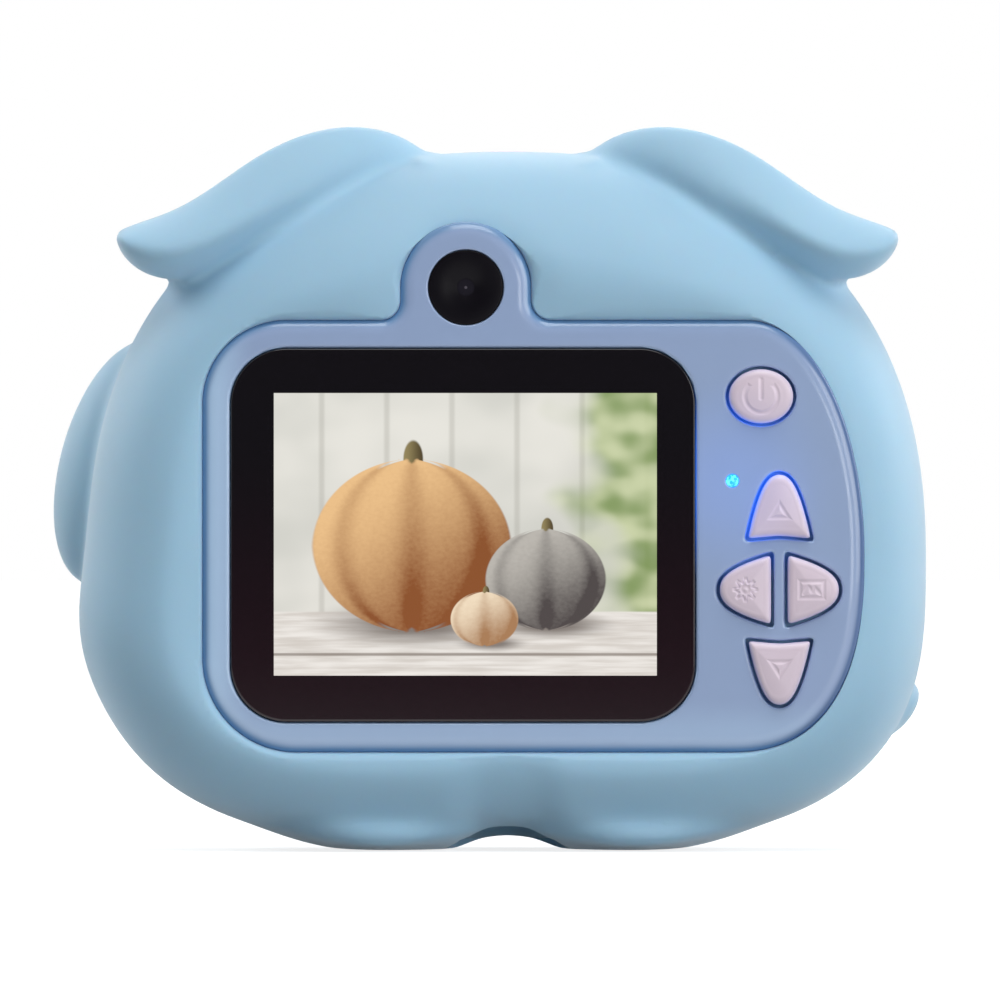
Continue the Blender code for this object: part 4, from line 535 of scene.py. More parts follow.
PLANK_WIDTH, PLANK_START = 0.085, 0.045
TABLE_EDGE, BOARD_GAP_LEVEL = 0.222, 0.075
plank = calc("PINGPONG", calc("ADD", across, PLANK_START), PLANK_WIDTH)
wall = mottled(on_picture, 3.0, 2.0, tone(214, 214, 206), tone(236, 234, 226))
picture = mixed(eased(plank, 0.002, 0.012, 0.35, 0.0), wall, tone(168, 166, 156))
leaf_mass = calc("ADD", noise(on_picture, 6.0, 0.5), eased(across, 0.6, 1.0, -0.4, 0.25))
leaf = mottled(on_picture, 11.0, 0.5, tone(122, 150, 76), tone(204, 214, 166))
picture = mixed(eased(leaf_mass, 0.3, 0.72, 0.0, 0.9), picture, leaf)
grain = add_node("Mapping", {"Vector": on_picture, "Scale": (5.0, 1.0, 60.0)})[0]
boards = mottled(grain, 1.0, 4.0, tone(216, 210, 202), tone(242, 238, 232))
board_gap = calc("ABSOLUTE", calc("SUBTRACT", up, BOARD_GAP_LEVEL))
boards = mixed(eased(board_gap, 0.002, 0.008, 0.7, 0.0), boards, tone(120, 108, 98))
picture = mixed(eased(up, TABLE_EDGE, TABLE_EDGE + 0.008, 1.0, 0.0), picture, boards)
picture = gourd(picture, 0.36, 0.46, 10.6, 9.2, 4.0, tone(240, 196, 140), tone(142, 84, 42))
picture = gourd(picture, 0.71, 0.34, 6.4, 5.4, 3.5, tone(190, 186, 178), tone(78, 74, 72))
picture = gourd(picture, 0.55, 0.2, 3.6, 2.9, 3.0, tone(246, 226, 196), tone(172, 128, 88))
lit = calc("MULTIPLY", calc("COMPARE", across, 0.5, 0.5), calc("COMPARE", up, 0.5, 0.5))
picture = mixed(lit, (0.0, 0.0, 0.0, 1.0), picture)
# Painted reflection: towards the bottom the black print is painted a redder tone, as a reflection on the
# glass.
low_reflection = eased(up, -0.1, 0.9, 1.0, 0.0)
print_and_reflection = mixed(low_reflection, base_colour(tree), tone(33, 13, 23))
dress(tree, Base_Color=print_and_reflection, Emission_Color=picture, Emission_Strength=0.95)
window_parts = [solid(swept(window_outline, window_profile))]
piece("window", window_parts, window_black, ["screen_window"])


# Small lens above the screen
# A black plastic disc let into the bump of the panel, with a shallow dish and the small round lens in
# the middle of it.

SELFIE_EDGE, SELFIE_LENS, SELFIE_STEP, SELFIE_DISH = 0.08, 1.05, 0.05, 0.03


def turned(centre, profile, count=128):
    """A profile of (radius, depth) pairs turned about an axis along the depth, as a sweep round a circle of
    radius one."""
    return swept(oval(centre, 1.0, 1.0, count), np.array(profile) - (1.0, 0.0))


selfie_radius = selfie_high[0] - SELFIE[0]
front, back = selfie_low[1] - SKIN, selfie_high[1]
selfie_profile = [
    (selfie_radius, back),
    *(rolled((0.0, front + SELFIE_EDGE), (-SELFIE_EDGE, front), 6) + (selfie_radius, 0.0)),
    (SELFIE_LENS + SELFIE_STEP, front),
    *np.column_stack([SELFIE_LENS * np.linspace(1, 0, 8), np.full(8, front + SELFIE_DISH)]),
]
lens_black = moulded("lens_black", tone(16, 14, 20), 0.3, 1.0, 0.0003, 0.1, IOR=1.2)
tree = lens_black.node_tree
gap = away_from(place_on(tree), (SELFIE[0], front, SELFIE[1]))
inner = mixed(eased(gap, 0.5 * MM, 1.0 * MM), tone(30, 28, 37), tone(26, 24, 33))
# Painted highlight: a tiny pale dot in the very middle of the lens.
inner = mixed(eased(gap, 0.1 * MM, 0.2 * MM), tone(92, 88, 98), inner)
outside = eased(gap, (SELFIE_LENS - 0.3) * MM, SELFIE_LENS * MM)
dress(tree, Base_Color=mixed(outside, inner, base_colour(tree)))
piece("selfie_lens", [solid(turned(SELFIE, selfie_profile))], lens_black, ["selfie_window"])


# Keys
# Five soft-edged caps of pale lilac plastic, each with a sign moulded into its top. A flange behind the
# panel holds each one, and a stem on its back presses the switch.

KEY_GAP, KEY_RIM, KEY_SOFTNESS, CAP_STEP = 0.42, 0.3, 0.2, 0.08
KEY_TOP, KEY_SHOULDER = -15.62, -14.95
KEY_CROWN = 0.2
FLANGE_LIP, FLANGE_FRONT, FLANGE_BACK = 0.7, -12.0, -11.3
STEM_RADIUS, STEM_END, STEM_OVERLAP = 1.2, -10.3, 0.1
SIGN_STROKE, SIGN_DEPTH, SIGN_DROP = 0.34, 0.11, 0.6
POWER_RING, POWER_OPENING, POWER_BAR_END = 1.75, math.radians(52), -0.2
TRIANGLE_TOP, TRIANGLE_BASE, TRIANGLE_LEAN = 0.8, -0.6, (0.84, 0.54)
GEAR_RADIUS, GEAR_TOOTH, GEAR_TEETH, GEAR_HUB = 0.95, 0.17, 8, 0.35
FRAME_HALF_WIDTH, FRAME_HALF_HEIGHT, FRAME_SHIFT = 1.25, 0.85, 0.2
FRAME_PEAKS = [(-0.9, -0.45), (-0.35, 0.3), (0.05, -0.2), (0.35, 0.15), (0.9, -0.45)]
RIM_STEPS, CROWN_STEPS = 10, 60


def segment(x, z, start, end):
    """Distance from points to a straight stroke."""
    run = np.array(end) - np.array(start)
    share = np.clip(((x - start[0]) * run[0] + (z - start[1]) * run[1]) / (run @ run), 0, 1)
    return np.hypot(x - start[0] - share * run[0], z - start[1] - share * run[1])


def power_sign(x, z):
    """Distance to an open ring with a short bar in its gap."""
    opening = z * math.sin(POWER_OPENING) - abs(x) * math.cos(POWER_OPENING)
    ring = np.maximum(abs(np.hypot(x, z) - POWER_RING), opening)
    return np.minimum(ring, segment(x, z, (0, POWER_BAR_END), (0, POWER_RING)))


def triangle_sign(x, z):
    """Distance to the outline of a triangle that points up."""
    flank = abs(x) * TRIANGLE_LEAN[0] + (z - TRIANGLE_TOP) * TRIANGLE_LEAN[1]
    return abs(np.maximum(flank, TRIANGLE_BASE - z))


def gear_sign(x, z):
    """Distance to a toothed ring with a small ring in it."""
    radius, turn = np.hypot(x, z), np.arctan2(z, x)
    teeth = GEAR_RADIUS + GEAR_TOOTH * np.tanh(3 * np.cos(GEAR_TEETH * turn))
    return np.minimum(abs(radius - teeth), abs(radius - GEAR_HUB))


def frame_sign(x, z):
    """Distance to a rectangle with two peaks in it."""
    border = abs(np.maximum(abs(x) - FRAME_HALF_WIDTH, abs(z) - FRAME_HALF_HEIGHT))
    peaks = [segment(x, z, *pair) for pair in zip(FRAME_PEAKS, FRAME_PEAKS[1:])]
    return np.minimum.reduce([border, *peaks])


key_signs = {
    "power": power_sign,
    "up": lambda x, z: triangle_sign(x, z + SIGN_DROP),
    "left": gear_sign,
    "down": lambda x, z: triangle_sign(x, SIGN_DROP - z),
    "right": lambda x, z: frame_sign(x + FRAME_SHIFT, z),
}
# The caps' walls take the painted lamp glow, and a share of it stays even far from the lamp.
key_lilac = with_painted_lamp_glow(moulded("key_lilac", tone(229, 213, 227), 0.36, 0.35, 0.004, 0.06, IOR=1.48), 0.07)


def key_top(outline, middle, sign):
    """A key's crown: copies of its outline drawn in to the middle, their depth a rolled rim and a low dome,
    less the sign where its strokes run."""
    lean = np.linspace(0, math.pi / 2, RIM_STEPS)
    share = np.concatenate([1 - KEY_RIM * (1 - np.cos(lean)), np.linspace(1 - KEY_RIM, 0, CROWN_STEPS)[1:]])
    depth = KEY_SHOULDER + (KEY_TOP - KEY_SHOULDER) * np.sin(lean)
    depth = np.concatenate([depth, np.full(CROWN_STEPS - 1, KEY_TOP)])
    depth = depth - KEY_CROWN * (1 - np.minimum(share / (1 - KEY_RIM), 1) ** 2)
    flat = middle + share[:, None, None] * (outline - middle)
    reach = sign(flat[..., 0] - middle[0], flat[..., 1] - middle[1])
    stroke = (1 - np.minimum(reach / SIGN_STROKE, 1) ** 2) ** 2 * (share < 1 - KEY_RIM)[:, None]
    return np.stack([flat[..., 0], depth[:, None] + SIGN_DEPTH * stroke, flat[..., 1]], axis=-1)


skirt = [(FLANGE_LIP, FLANGE_BACK), (FLANGE_LIP, FLANGE_FRONT), (0.0, FLANGE_FRONT)]
stem_profile = [(STEM_RADIUS, FLANGE_BACK - STEM_OVERLAP), (STEM_RADIUS, STEM_END)]
for name, hole in key_holes.items():
    middle = (hole.min(axis=0) + hole.max(axis=0)) / 2
    cap = softened(even(offset(hole, -KEY_GAP), CAP_STEP), KEY_SOFTNESS)
    body_rows = np.concatenate([swept(cap, skirt), key_top(cap, middle, key_signs[name])])
    key_parts = [solid(body_rows), solid(turned(middle, stem_profile, 32))]
    key = name + "_key"
    piece(name + "_cap", key_parts, key_lilac, [key], key, 30.0)


# Status lamp
# A clear plastic light pipe that brings the lamp on the board to the face of the panel. Its end is a
# small bright dot.

LAMP_RADIUS, LAMP_RISE = 0.66, 0.12
LAMP_FOOT_RADIUS, LAMP_FOOT_HEIGHT = 1.3, 0.7
lamp_low, lamp_high = node_box("led_light_pipe")
dome = np.linspace(1, 0, 8)
lamp_profile = [
    (LAMP_FOOT_RADIUS, lamp_high[1]),
    (LAMP_FOOT_RADIUS, lamp_high[1] - LAMP_FOOT_HEIGHT),
    (LAMP_RADIUS, lamp_high[1] - LAMP_FOOT_HEIGHT),
    *np.column_stack([LAMP_RADIUS * dome, lamp_low[1] - SKIN - LAMP_RISE * (1 - dome**2)]),
]
lamp_cyan = moulded("lamp_cyan", tone(40, 190, 225), 0.2, 0.4, 0.004, 0.2, IOR=1.49)
tree = lamp_cyan.node_tree
sparks = eased(noise(place_on(tree), 3200.0, 1.0), 0.42, 0.62)
light = mixed(sparks, tone(10, 140, 190), tone(120, 240, 250))
dress(tree, Emission_Color=light, Emission_Strength=1.0)
piece("status_lamp", [solid(turned(LAMP, lamp_profile, 48))], lamp_cyan, ["led_light_pipe"])
refinish(lamp_cyan, "status_led")


# Parts inside the case
# Circuit boards, switches, display, battery, speaker, ribbons and screws, as bought in. They keep their
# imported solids, and each takes the finish of its kind.

board_green = moulded("board_green", tone(34, 92, 52), 0.38, 0.3, 0.006, 0.2)
tree = board_green.node_tree
laid = {"Vector": place_on(tree), "Rotation": (math.radians(90), 0, 0)}
tracks = add_node("TexBrick", {
    "Vector": add_node("Mapping", laid)[0],
    "Scale": 420.0,
    "Mortar Size": 0.06,
    "Color1": tone(34, 92, 52),
    "Color2": tone(40, 106, 60),
    "Mortar": tone(86, 140, 84),
})[0]
dress(tree, Base_Color=tracks)
refinish(board_green, "main_board", "selfie_board", "shutter_board", "front_sensor_board")

plastic_black = moulded("plastic_black", tone(34, 34, 36), 0.5, 0.3, 0.006, 0.3)
refinish(plastic_black, "selfie_barrel", "main_chip", "front_sensor", "speaker", "shutter_switch")
refinish(plastic_black, *[name + "_switch" for name in key_holes])

steel_plain = moulded("steel_plain", tone(196, 196, 200), 0.3, 0.25, 0.002, 0.12, Metallic=1.0)
refinish(steel_plain, "lcd_backlight", "microphone", "card_socket", "usb_socket")
refinish(steel_plain, *[f"{kind}_screw_{number}" for kind in ("case", "board") for number in range(1, 5)])

display_grey = moulded("display_grey", tone(70, 72, 78), 0.12, 0.3, 0.001, 0.1, IOR=1.5)
refinish(display_grey, "lcd_panel")
battery_silver = moulded("battery_silver", tone(190, 194, 198), 0.36, 1.5, 0.02, 0.1, Metallic=0.6)
refinish(battery_silver, "battery")
ribbon_amber = moulded("ribbon_amber", tone(196, 128, 40), 0.35, 0.4, 0.004, 0.15)
refinish(ribbon_amber, "selfie_ribbon", "front_camera_ribbon")
refinish(moulded("lead_red", tone(188, 30, 28), 0.4, 0.3, 0.004, 0.1), "battery_lead_red")
refinish(moulded("lead_black", tone(38, 38, 40), 0.4, 0.3, 0.004, 0.2), "battery_lead_black")


# Main lens
# A turned and plated metal ring on the snout, with a domed front glass behind it and a black barrel that
# steps down to the sensor.

RING_RADIUS, RING_OPENING, RING_EDGE, RING_HEIGHT = 9.3, 5.4, 0.7, 1.5
RING_LAND, FUNNEL_MOUTH, FUNNEL_START, FUNNEL_DROP = 7.5, 7.2, 0.15, 1.35
CHAMFER_DROP = 0.12
GROOVE_DEPTH, GROOVE_COUNT = 0.05, 5
GLASS_DOME = 0.55
ring_box_low, ring_box_high = node_box("front_lens_ring")
glass_low, glass_high = node_box("front_lens_glass")
LENS = node_centre("front_lens_ring")
ring_front, ring_back = ring_box_high[1], ring_box_low[1]
glass_radius = (glass_high[0] - glass_low[0]) / 2
seat = ring_front - RING_HEIGHT
funnel = np.linspace(0, 1, 25)
grooves = GROOVE_DEPTH * np.cos(funnel * 2 * GROOVE_COUNT * math.pi)
ring_profile = [
    (glass_radius, ring_back),
    (glass_radius, seat),
    (RING_RADIUS, seat),
    *(rolled((0.0, ring_front - RING_EDGE), (-RING_EDGE, ring_front), 8) + (RING_RADIUS, 0.0)),
    (RING_LAND, ring_front),
    ((RING_LAND + FUNNEL_MOUTH) / 2, ring_front - CHAMFER_DROP),
    *np.column_stack([
        FUNNEL_MOUTH + (RING_OPENING - FUNNEL_MOUTH) * funnel,
        ring_front - FUNNEL_START - FUNNEL_DROP * funnel + grooves,
    ]),
    (RING_OPENING, ring_back),
]
steel_ring = moulded("steel_ring", tone(206, 208, 214), 0.22, 0.2, 0.001, 0.08, Metallic=1.0)
ring_rows = turned(LENS, ring_profile, 160)
ring_closed = np.concatenate([ring_rows, ring_rows[:1]])
ring_part = (ring_closed.reshape(-1, 3), [strip(len(ring_closed), ring_closed.shape[1])])
piece("lens_ring", [ring_part], steel_ring, ["front_lens_ring"], sharp=30.0)

dome = np.linspace(1, 0, 14)
glass_profile = [
    (glass_radius, glass_low[1]),
    *np.column_stack([glass_radius * dome, glass_high[1] - GLASS_DOME * dome**2]),
]
glass_dark = moulded("glass_dark", tone(16, 18, 30), 0.05, 1.5, 0.0003, 0.2, IOR=1.6, Coat_Weight=0.6)
tree = glass_dark.node_tree
gap = away_from(place_on(tree), (LENS[0], glass_high[1], LENS[1]))
rings = calc("SINE", calc("MULTIPLY", gap, 4200.0))
inner = mixed(eased(rings, 0.2, 1.0), tone(10, 10, 14), tone(40, 42, 52))
coating = mixed(eased(gap, 1.2 * MM, 3.0 * MM), tone(34, 22, 66), inner)
coating = mixed(eased(gap, 0.5 * MM, 1.1 * MM), tone(4, 4, 6), coating)
dress(tree, Base_Color=coating)
piece("lens_glass", [solid(turned(LENS, glass_profile))], glass_dark, ["front_lens_glass"])
refinish(plastic_black, "front_lens_barrel")


# Shutter key
# An oval cap of the same lilac plastic, let into the top of the sleeve between the ears. A flange under
# the sleeve holds it, and its stem presses a switch on a small board.

SHUTTER_DEPTH, SHUTTER_HALF_WIDTH, SHUTTER_HALF_DEPTH = 4.8, 3.5, 2.7
SHUTTER_EDGE, SHUTTER_RIM, SHUTTER_DOME, SHUTTER_RISE = 0.7, 0.22, 0.15, 0.6
SHUTTER_LIP, SHUTTER_FLANGE_TOP, SHUTTER_FLANGE_HEIGHT = 0.9, 68.35, 1.0
shutter_low, shutter_high = node_box("shutter_key")
shutter_centre = (0.0, SHUTTER_DEPTH)
shutter_outline = oval(shutter_centre, SHUTTER_HALF_WIDTH, SHUTTER_HALF_DEPTH)
lean = np.linspace(0, math.pi / 2, 10)
share = np.concatenate([1 - SHUTTER_RIM * (1 - np.cos(lean)), np.linspace(1 - SHUTTER_RIM, 0, 16)[1:]])
top = shutter_high[2] + SHUTTER_RISE
height = np.concatenate([top - SHUTTER_EDGE * (1 - np.sin(lean)), np.full(15, top)]) - SHUTTER_DOME * share**2
crown = shutter_centre + share[:, None, None] * (shutter_outline - shutter_centre)
skirt = offset(shutter_outline, np.array([SHUTTER_LIP, SHUTTER_LIP, 0.0]))
skirt_height = SHUTTER_FLANGE_TOP - np.array([SHUTTER_FLANGE_HEIGHT, 0.0, 0.0])
flat = np.concatenate([skirt, crown])
level = np.concatenate([skirt_height, height])
shutter_rows = np.dstack([flat, np.broadcast_to(level[:, None], flat.shape[:2])])
stem_outline = oval(shutter_centre, STEM_RADIUS, STEM_RADIUS, 32)
stem_ends = (SHUTTER_FLANGE_TOP - SHUTTER_FLANGE_HEIGHT + STEM_OVERLAP, shutter_low[2])
stem_rows = np.stack([np.column_stack([stem_outline, np.full(32, end)]) for end in stem_ends])
shutter_parts = [solid(shutter_rows), solid(stem_rows)]
piece("shutter_cap", shutter_parts, key_lilac, ["shutter_key"], "shutter_key", 30.0)


# Silicone sleeve
# One soft sleeve of sky-blue silicone rubber, cast as a round animal with drooping ears, feet, a paw, a
# tail tip and a snout. It is stretched over the case and leaves the panel, lens, key and socket open.

BODY_HALF_WIDTH, BODY_RISE, BODY_DROP, BODY_WIDEST = 45.0, 44.1, 30.8, 30.9
UPPER_ROUNDNESS, LOWER_ROUNDNESS = 2.36, 2.97
REAR_DEPTH, REAR_ROLL, TOP_ROLL, REAR_POWER = 16.0, 14.0, 7.0, 2.3
FRONT_DEPTH, FRONT_POWER = 18.0, 4.0
CLEFT_RISE, CLEFT_WIDTH, CLEFT_REACH = 1.4, 5.0, 15.0
HAUNCH_SWELL, HAUNCH_LEVEL, HAUNCH_SPREAD = 1.2, 23.5, 9.0
LIP_LEVEL, LIP_RISE, LIP_SPREAD, LIP_BLEND = 13.75, 2.2, 3.0, 0.6
LIP_SINK, LIP_START = 2.4, 6.0
EAR_SPINE = np.array([(-8.7, 74.1), (-24.5, 78.5), (-30.3, 60.5), (-40.7, 65.5)])
EAR_HALF_WIDTH, EAR_MIDDLE, EAR_BOTTOM, EAR_BALLS = 3.95, -8.8, 54.0, 76
EAR_ROOT_TAPER, EAR_TIP_TAPER, EAR_TIP_POWER = 1.06, 0.72, 4.8
EAR_ROOT_DEPTH, EAR_TIP_DEPTH, EAR_DEPTH_POWER, EAR_TIP_FADE = 1.7, 8.6, 2.2, 0.85
EAR_FRONT_DEPTH, EAR_FRONT_TIP, EAR_FRONT_ROOT = 18.0, 0.6, 0.2
EAR_LEAN, EAR_UNDERCUT, UNDERCUT_START, UNDERCUT_RUN = 0.42, 1.38, 0.4, 0.3
FOOT_PLACE, FOOT_HALF = (13.5, -0.3, 1.9), (12.0, 12.7, 1.95)
FOOT_CURVE, FOOT_POWER = 0.0145, 3.0
PAW_CENTRE, PAW_HALF, PAW_TILT = (-42.0, 7.5, 41.6), (6.3, 7.5, 13.5), -15.4
TAIL_CENTRE, TAIL_HALF, TAIL_TILT = (41.9, 4.0, 14.9), (1.7, 3.2, 3.4), -38.0
SNOUT_CENTRE, SNOUT_HALF, SNOUT_REACH, SNOUT_EDGE = 35.5, (18.5, 14.5), 24.0, 4.5
EAR_JOIN, FOOT_JOIN, PAW_JOIN, TAIL_JOIN, SNOUT_JOIN, SOLE_EDGE = 1.8, 2.0, 1.0, 0.5, 3.0, 0.4
SLEEVE_PITCH = 0.56
TINY, FAR_AWAY = 1e-6, 30.0


def inside(outline, x, z):
    """One inside a closed outline, nought outside: whether a line from the place crosses it an odd number of
    times."""
    odd = np.zeros(np.broadcast(x, z).shape, bool)
    for (ax, az), (bx, bz) in zip(outline, np.roll(outline, -1, axis=0)):
        if az != bz:
            odd ^= ((az > z) != (bz > z)) & (x < (bx - ax) * (z - az) / (bz - az) + ax)
    return odd.astype(float)


OPENING_GAP, OPENING_STEP = 0.03, 0.3
MAP_LOW, MAP_COUNT, MAP_STEP = np.array([-64.0, -26.0]), 256, 0.5
opening_outline = even(offset(panel_outline, OPENING_GAP), OPENING_STEP)
map_x, map_z = MAP_LOW[:, None] + MAP_STEP * np.arange(MAP_COUNT)
pitch = np.fft.fftfreq(MAP_COUNT, MAP_STEP)
blur = np.exp(-2 * (math.pi * LIP_SPREAD) ** 2 * (pitch[:, None] ** 2 + pitch**2))
opening_map = np.fft.ifft2(np.fft.fft2(inside(opening_outline, map_x[:, None], map_z)) * blur).real


def near_opening(x, z):
    """How near a place is to the panel's opening, from nought to one: the opening's area blurred by a bell
    curve, read from its map by the four nearest values."""
    across, up = (np.clip((value - low) / MAP_STEP, 0, MAP_COUNT - 2) for value, low in zip((x, z), MAP_LOW))
    column, row = across.astype(int), up.astype(int)
    share_x, share_z = across - column, up - row
    low = opening_map[column, row] * (1 - share_x) + opening_map[column + 1, row] * share_x
    high = opening_map[column, row + 1] * (1 - share_x) + opening_map[column + 1, row + 1] * share_x
    return low * (1 - share_z) + high * share_z


def joined(first, second, blend):
    """The nearer of two distances, with a fillet of about the blend where they meet."""
    share = np.maximum(blend - abs(first - second), 0) / blend
    return np.minimum(first, second) - share**2 * blend / 4


def opened(first, hole, blend):
    """A distance with a hole taken out, its edge rounded by about the blend."""
    return -joined(-first, hole, blend)


def egg_reach(across, up, inset=0.0):
    """How far the body's egg outline lies from its middle in a direction: the powers of x and z over their
    half sizes, each less an inset, add to one."""
    power = np.where(up > 0, UPPER_ROUNDNESS, LOWER_ROUNDNESS)
    rise = np.where(up > 0, BODY_RISE, BODY_DROP) - inset
    return ((abs(across) / (BODY_HALF_WIDTH - inset)) ** power + (abs(up) / rise) ** power) ** (-1 / power)


def body_field(x, y, z):
    """Distance to the body: how far out in an egg outline a place lies and how deep, each over the reach of
    the rolled edge, which at the front is the whole radius, raised to a power and added. The outline rises in
    a cleft between the feet and swells at one haunch. At the rear the form sinks towards the panel, and a
    shallow dish holds its lip at one level."""
    side = np.clip(-x / BODY_HALF_WIDTH, 0, 1)
    x = x + HAUNCH_SWELL * side * np.exp(-(((z - HAUNCH_LEVEL) / HAUNCH_SPREAD) ** 2))
    low = np.clip((BODY_WIDEST - z) / CLEFT_REACH, 0, 1)
    up = z - CLEFT_RISE * low * np.exp(-((x / CLEFT_WIDTH) ** 4)) - BODY_WIDEST
    radius = np.maximum(np.hypot(x, up), TINY)
    edge = egg_reach(x / radius, up / radius)
    ahead = y > 0
    depth = np.where(ahead, FRONT_DEPTH, REAR_DEPTH)
    roll = np.where(ahead, edge, REAR_ROLL + TOP_ROLL * np.clip(up / BODY_RISE, 0, 1) ** 2)
    power = np.where(ahead, FRONT_POWER, REAR_POWER)
    out, deep = np.maximum(1 - (edge - radius) / roll, 0), abs(y) / depth
    size = np.maximum((out**power + deep**power) ** (1 / power), TINY)
    bend = power - 1
    slope = np.hypot(out**bend / roll, deep**bend / depth) / size**bend
    egg = (size - 1) / np.maximum(slope, TINY)
    near = near_opening(x, z) * np.clip(-y / LIP_START, 0, 1)
    dish = -y - LIP_LEVEL - LIP_RISE * (1 - near)
    return opened(egg + LIP_SINK * near**2, -dish, LIP_BLEND)


def ear_field(x, y, z):
    """Distance to both ears: balls strung on a smooth curve of four points, that swell from the root and
    narrow at the tip. Each is drawn out along the depth, far to the front except at the root, and less to
    the rear; the rear leans up, is shallow at the root and is cut under by a square on the outer half, which
    fades at the very tip."""
    share = np.linspace(0, 1, EAR_BALLS)
    rest = 1 - share
    weights = np.stack([rest**3, 3 * share * rest**2, 3 * share**2 * rest, share**3], axis=1)
    spine = weights @ EAR_SPINE
    run = np.gradient(spine, axis=0)
    down = run[:, ::-1] / np.linalg.norm(run, axis=1, keepdims=True)
    root, tip = np.clip(1 - 2 * share, 0, 1), np.clip(2 * share - 1, 0, 1)
    width = EAR_HALF_WIDTH * np.sqrt(np.maximum(1 - EAR_ROOT_TAPER * root**2, 0.01))
    width = width * (1 - EAR_TIP_TAPER * tip**EAR_TIP_POWER)
    middle = EAR_MIDDLE * (1 - rest**5)
    rear = EAR_ROOT_DEPTH + EAR_TIP_DEPTH * share**EAR_DEPTH_POWER * (1 - EAR_TIP_FADE * tip**2)
    ahead = EAR_FRONT_DEPTH * (1 - (1 - EAR_FRONT_TIP) * share**2)
    ahead = ahead * (EAR_FRONT_ROOT + (1 - EAR_FRONT_ROOT) * np.sqrt(1 - root**2))
    undercut = EAR_UNDERCUT * np.clip((share - UNDERCUT_START) / UNDERCUT_RUN, 0, 1) * (1 - tip**2)
    x, y, z = np.broadcast_arrays(x, y, z)
    high = z > EAR_BOTTOM
    side, deep, level = abs(x[high]), y[high], z[high]
    near = np.full(level.shape, np.inf)
    balls = np.column_stack([spine, down, width, middle, rear, ahead, undercut])
    for ball_x, ball_z, down_x, down_z, radius, centre, behind, before, cut in balls:
        out, up = side + ball_x, level - ball_z
        below = np.clip((out * down_x + up * down_z) / radius, -1, 1)
        behind = behind * (1 + EAR_LEAN * below - cut * np.maximum(below, 0) ** 2)
        drawn = (deep - centre) / np.where(deep > centre, before, behind)
        near = np.minimum(near, np.sqrt(out**2 + up**2 + (radius * drawn) ** 2) - radius)
    gap = np.full(z.shape, FAR_AWAY)
    gap[high] = near
    return gap


def foot_field(x, y, z):
    """Distance to both feet: low pads, on which the powers of the radius in plan and of the height, each over
    its reach, add to one; the pads bend up to both sides by a square."""
    across = abs(x) - FOOT_PLACE[0]
    plan = np.hypot(across / FOOT_HALF[0], (y - FOOT_PLACE[1]) / FOOT_HALF[1])
    up = abs(z - FOOT_PLACE[2] - FOOT_CURVE * across**2) / FOOT_HALF[2]
    size = np.maximum((plan**FOOT_POWER + up**FOOT_POWER) ** (1 / FOOT_POWER), TINY)
    bend = FOOT_POWER - 1
    slope = np.hypot((plan / size) ** bend / FOOT_HALF[0], (up / size) ** bend / FOOT_HALF[2])
    return (size - 1) / np.maximum(slope, TINY)


def egg_field(x, y, z, centre, half, tilt):
    """Distance to an ellipsoid turned by a tilt in the plane of the screen."""
    turn = math.radians(tilt)
    across, up = x - centre[0], z - centre[2]
    place = (
        across * math.cos(turn) + up * math.sin(turn),
        y - centre[1],
        up * math.cos(turn) - across * math.sin(turn),
    )
    size = np.sqrt(sum((value / reach) ** 2 for value, reach in zip(place, half)))
    slope = np.sqrt(sum((value / reach**2) ** 2 for value, reach in zip(place, half)))
    return size * (size - 1) / np.maximum(slope, TINY)


def snout_field(x, y, z):
    """Distance to the snout: an oval cylinder along the depth with a round front edge."""
    across, up = x / SNOUT_HALF[0], (z - SNOUT_CENTRE) / SNOUT_HALF[1]
    size = np.hypot(across, up)
    slope = np.hypot(across / SNOUT_HALF[0], up / SNOUT_HALF[1])
    side = size * (size - 1) / np.maximum(slope, TINY) + SNOUT_EDGE
    ahead = y - SNOUT_REACH + SNOUT_EDGE
    corner = np.hypot(np.maximum(side, 0), np.maximum(ahead, 0))
    return np.maximum(corner + np.minimum(np.maximum(side, ahead), 0) - SNOUT_EDGE, -y)


def sleeve_field(x, y, z):
    """Distance to the sleeve's outside: all its forms joined, with flat soles."""
    form = joined(body_field(x, y, z), ear_field(x, y, z), EAR_JOIN)
    form = joined(form, foot_field(x, y, z), FOOT_JOIN)
    form = joined(form, egg_field(x, y, z, PAW_CENTRE, PAW_HALF, PAW_TILT), PAW_JOIN)
    form = joined(form, egg_field(x, y, z, TAIL_CENTRE, TAIL_HALF, TAIL_TILT), TAIL_JOIN)
    form = joined(form, snout_field(x, y, z), SNOUT_JOIN)
    return opened(form, z, SOLE_EDGE)


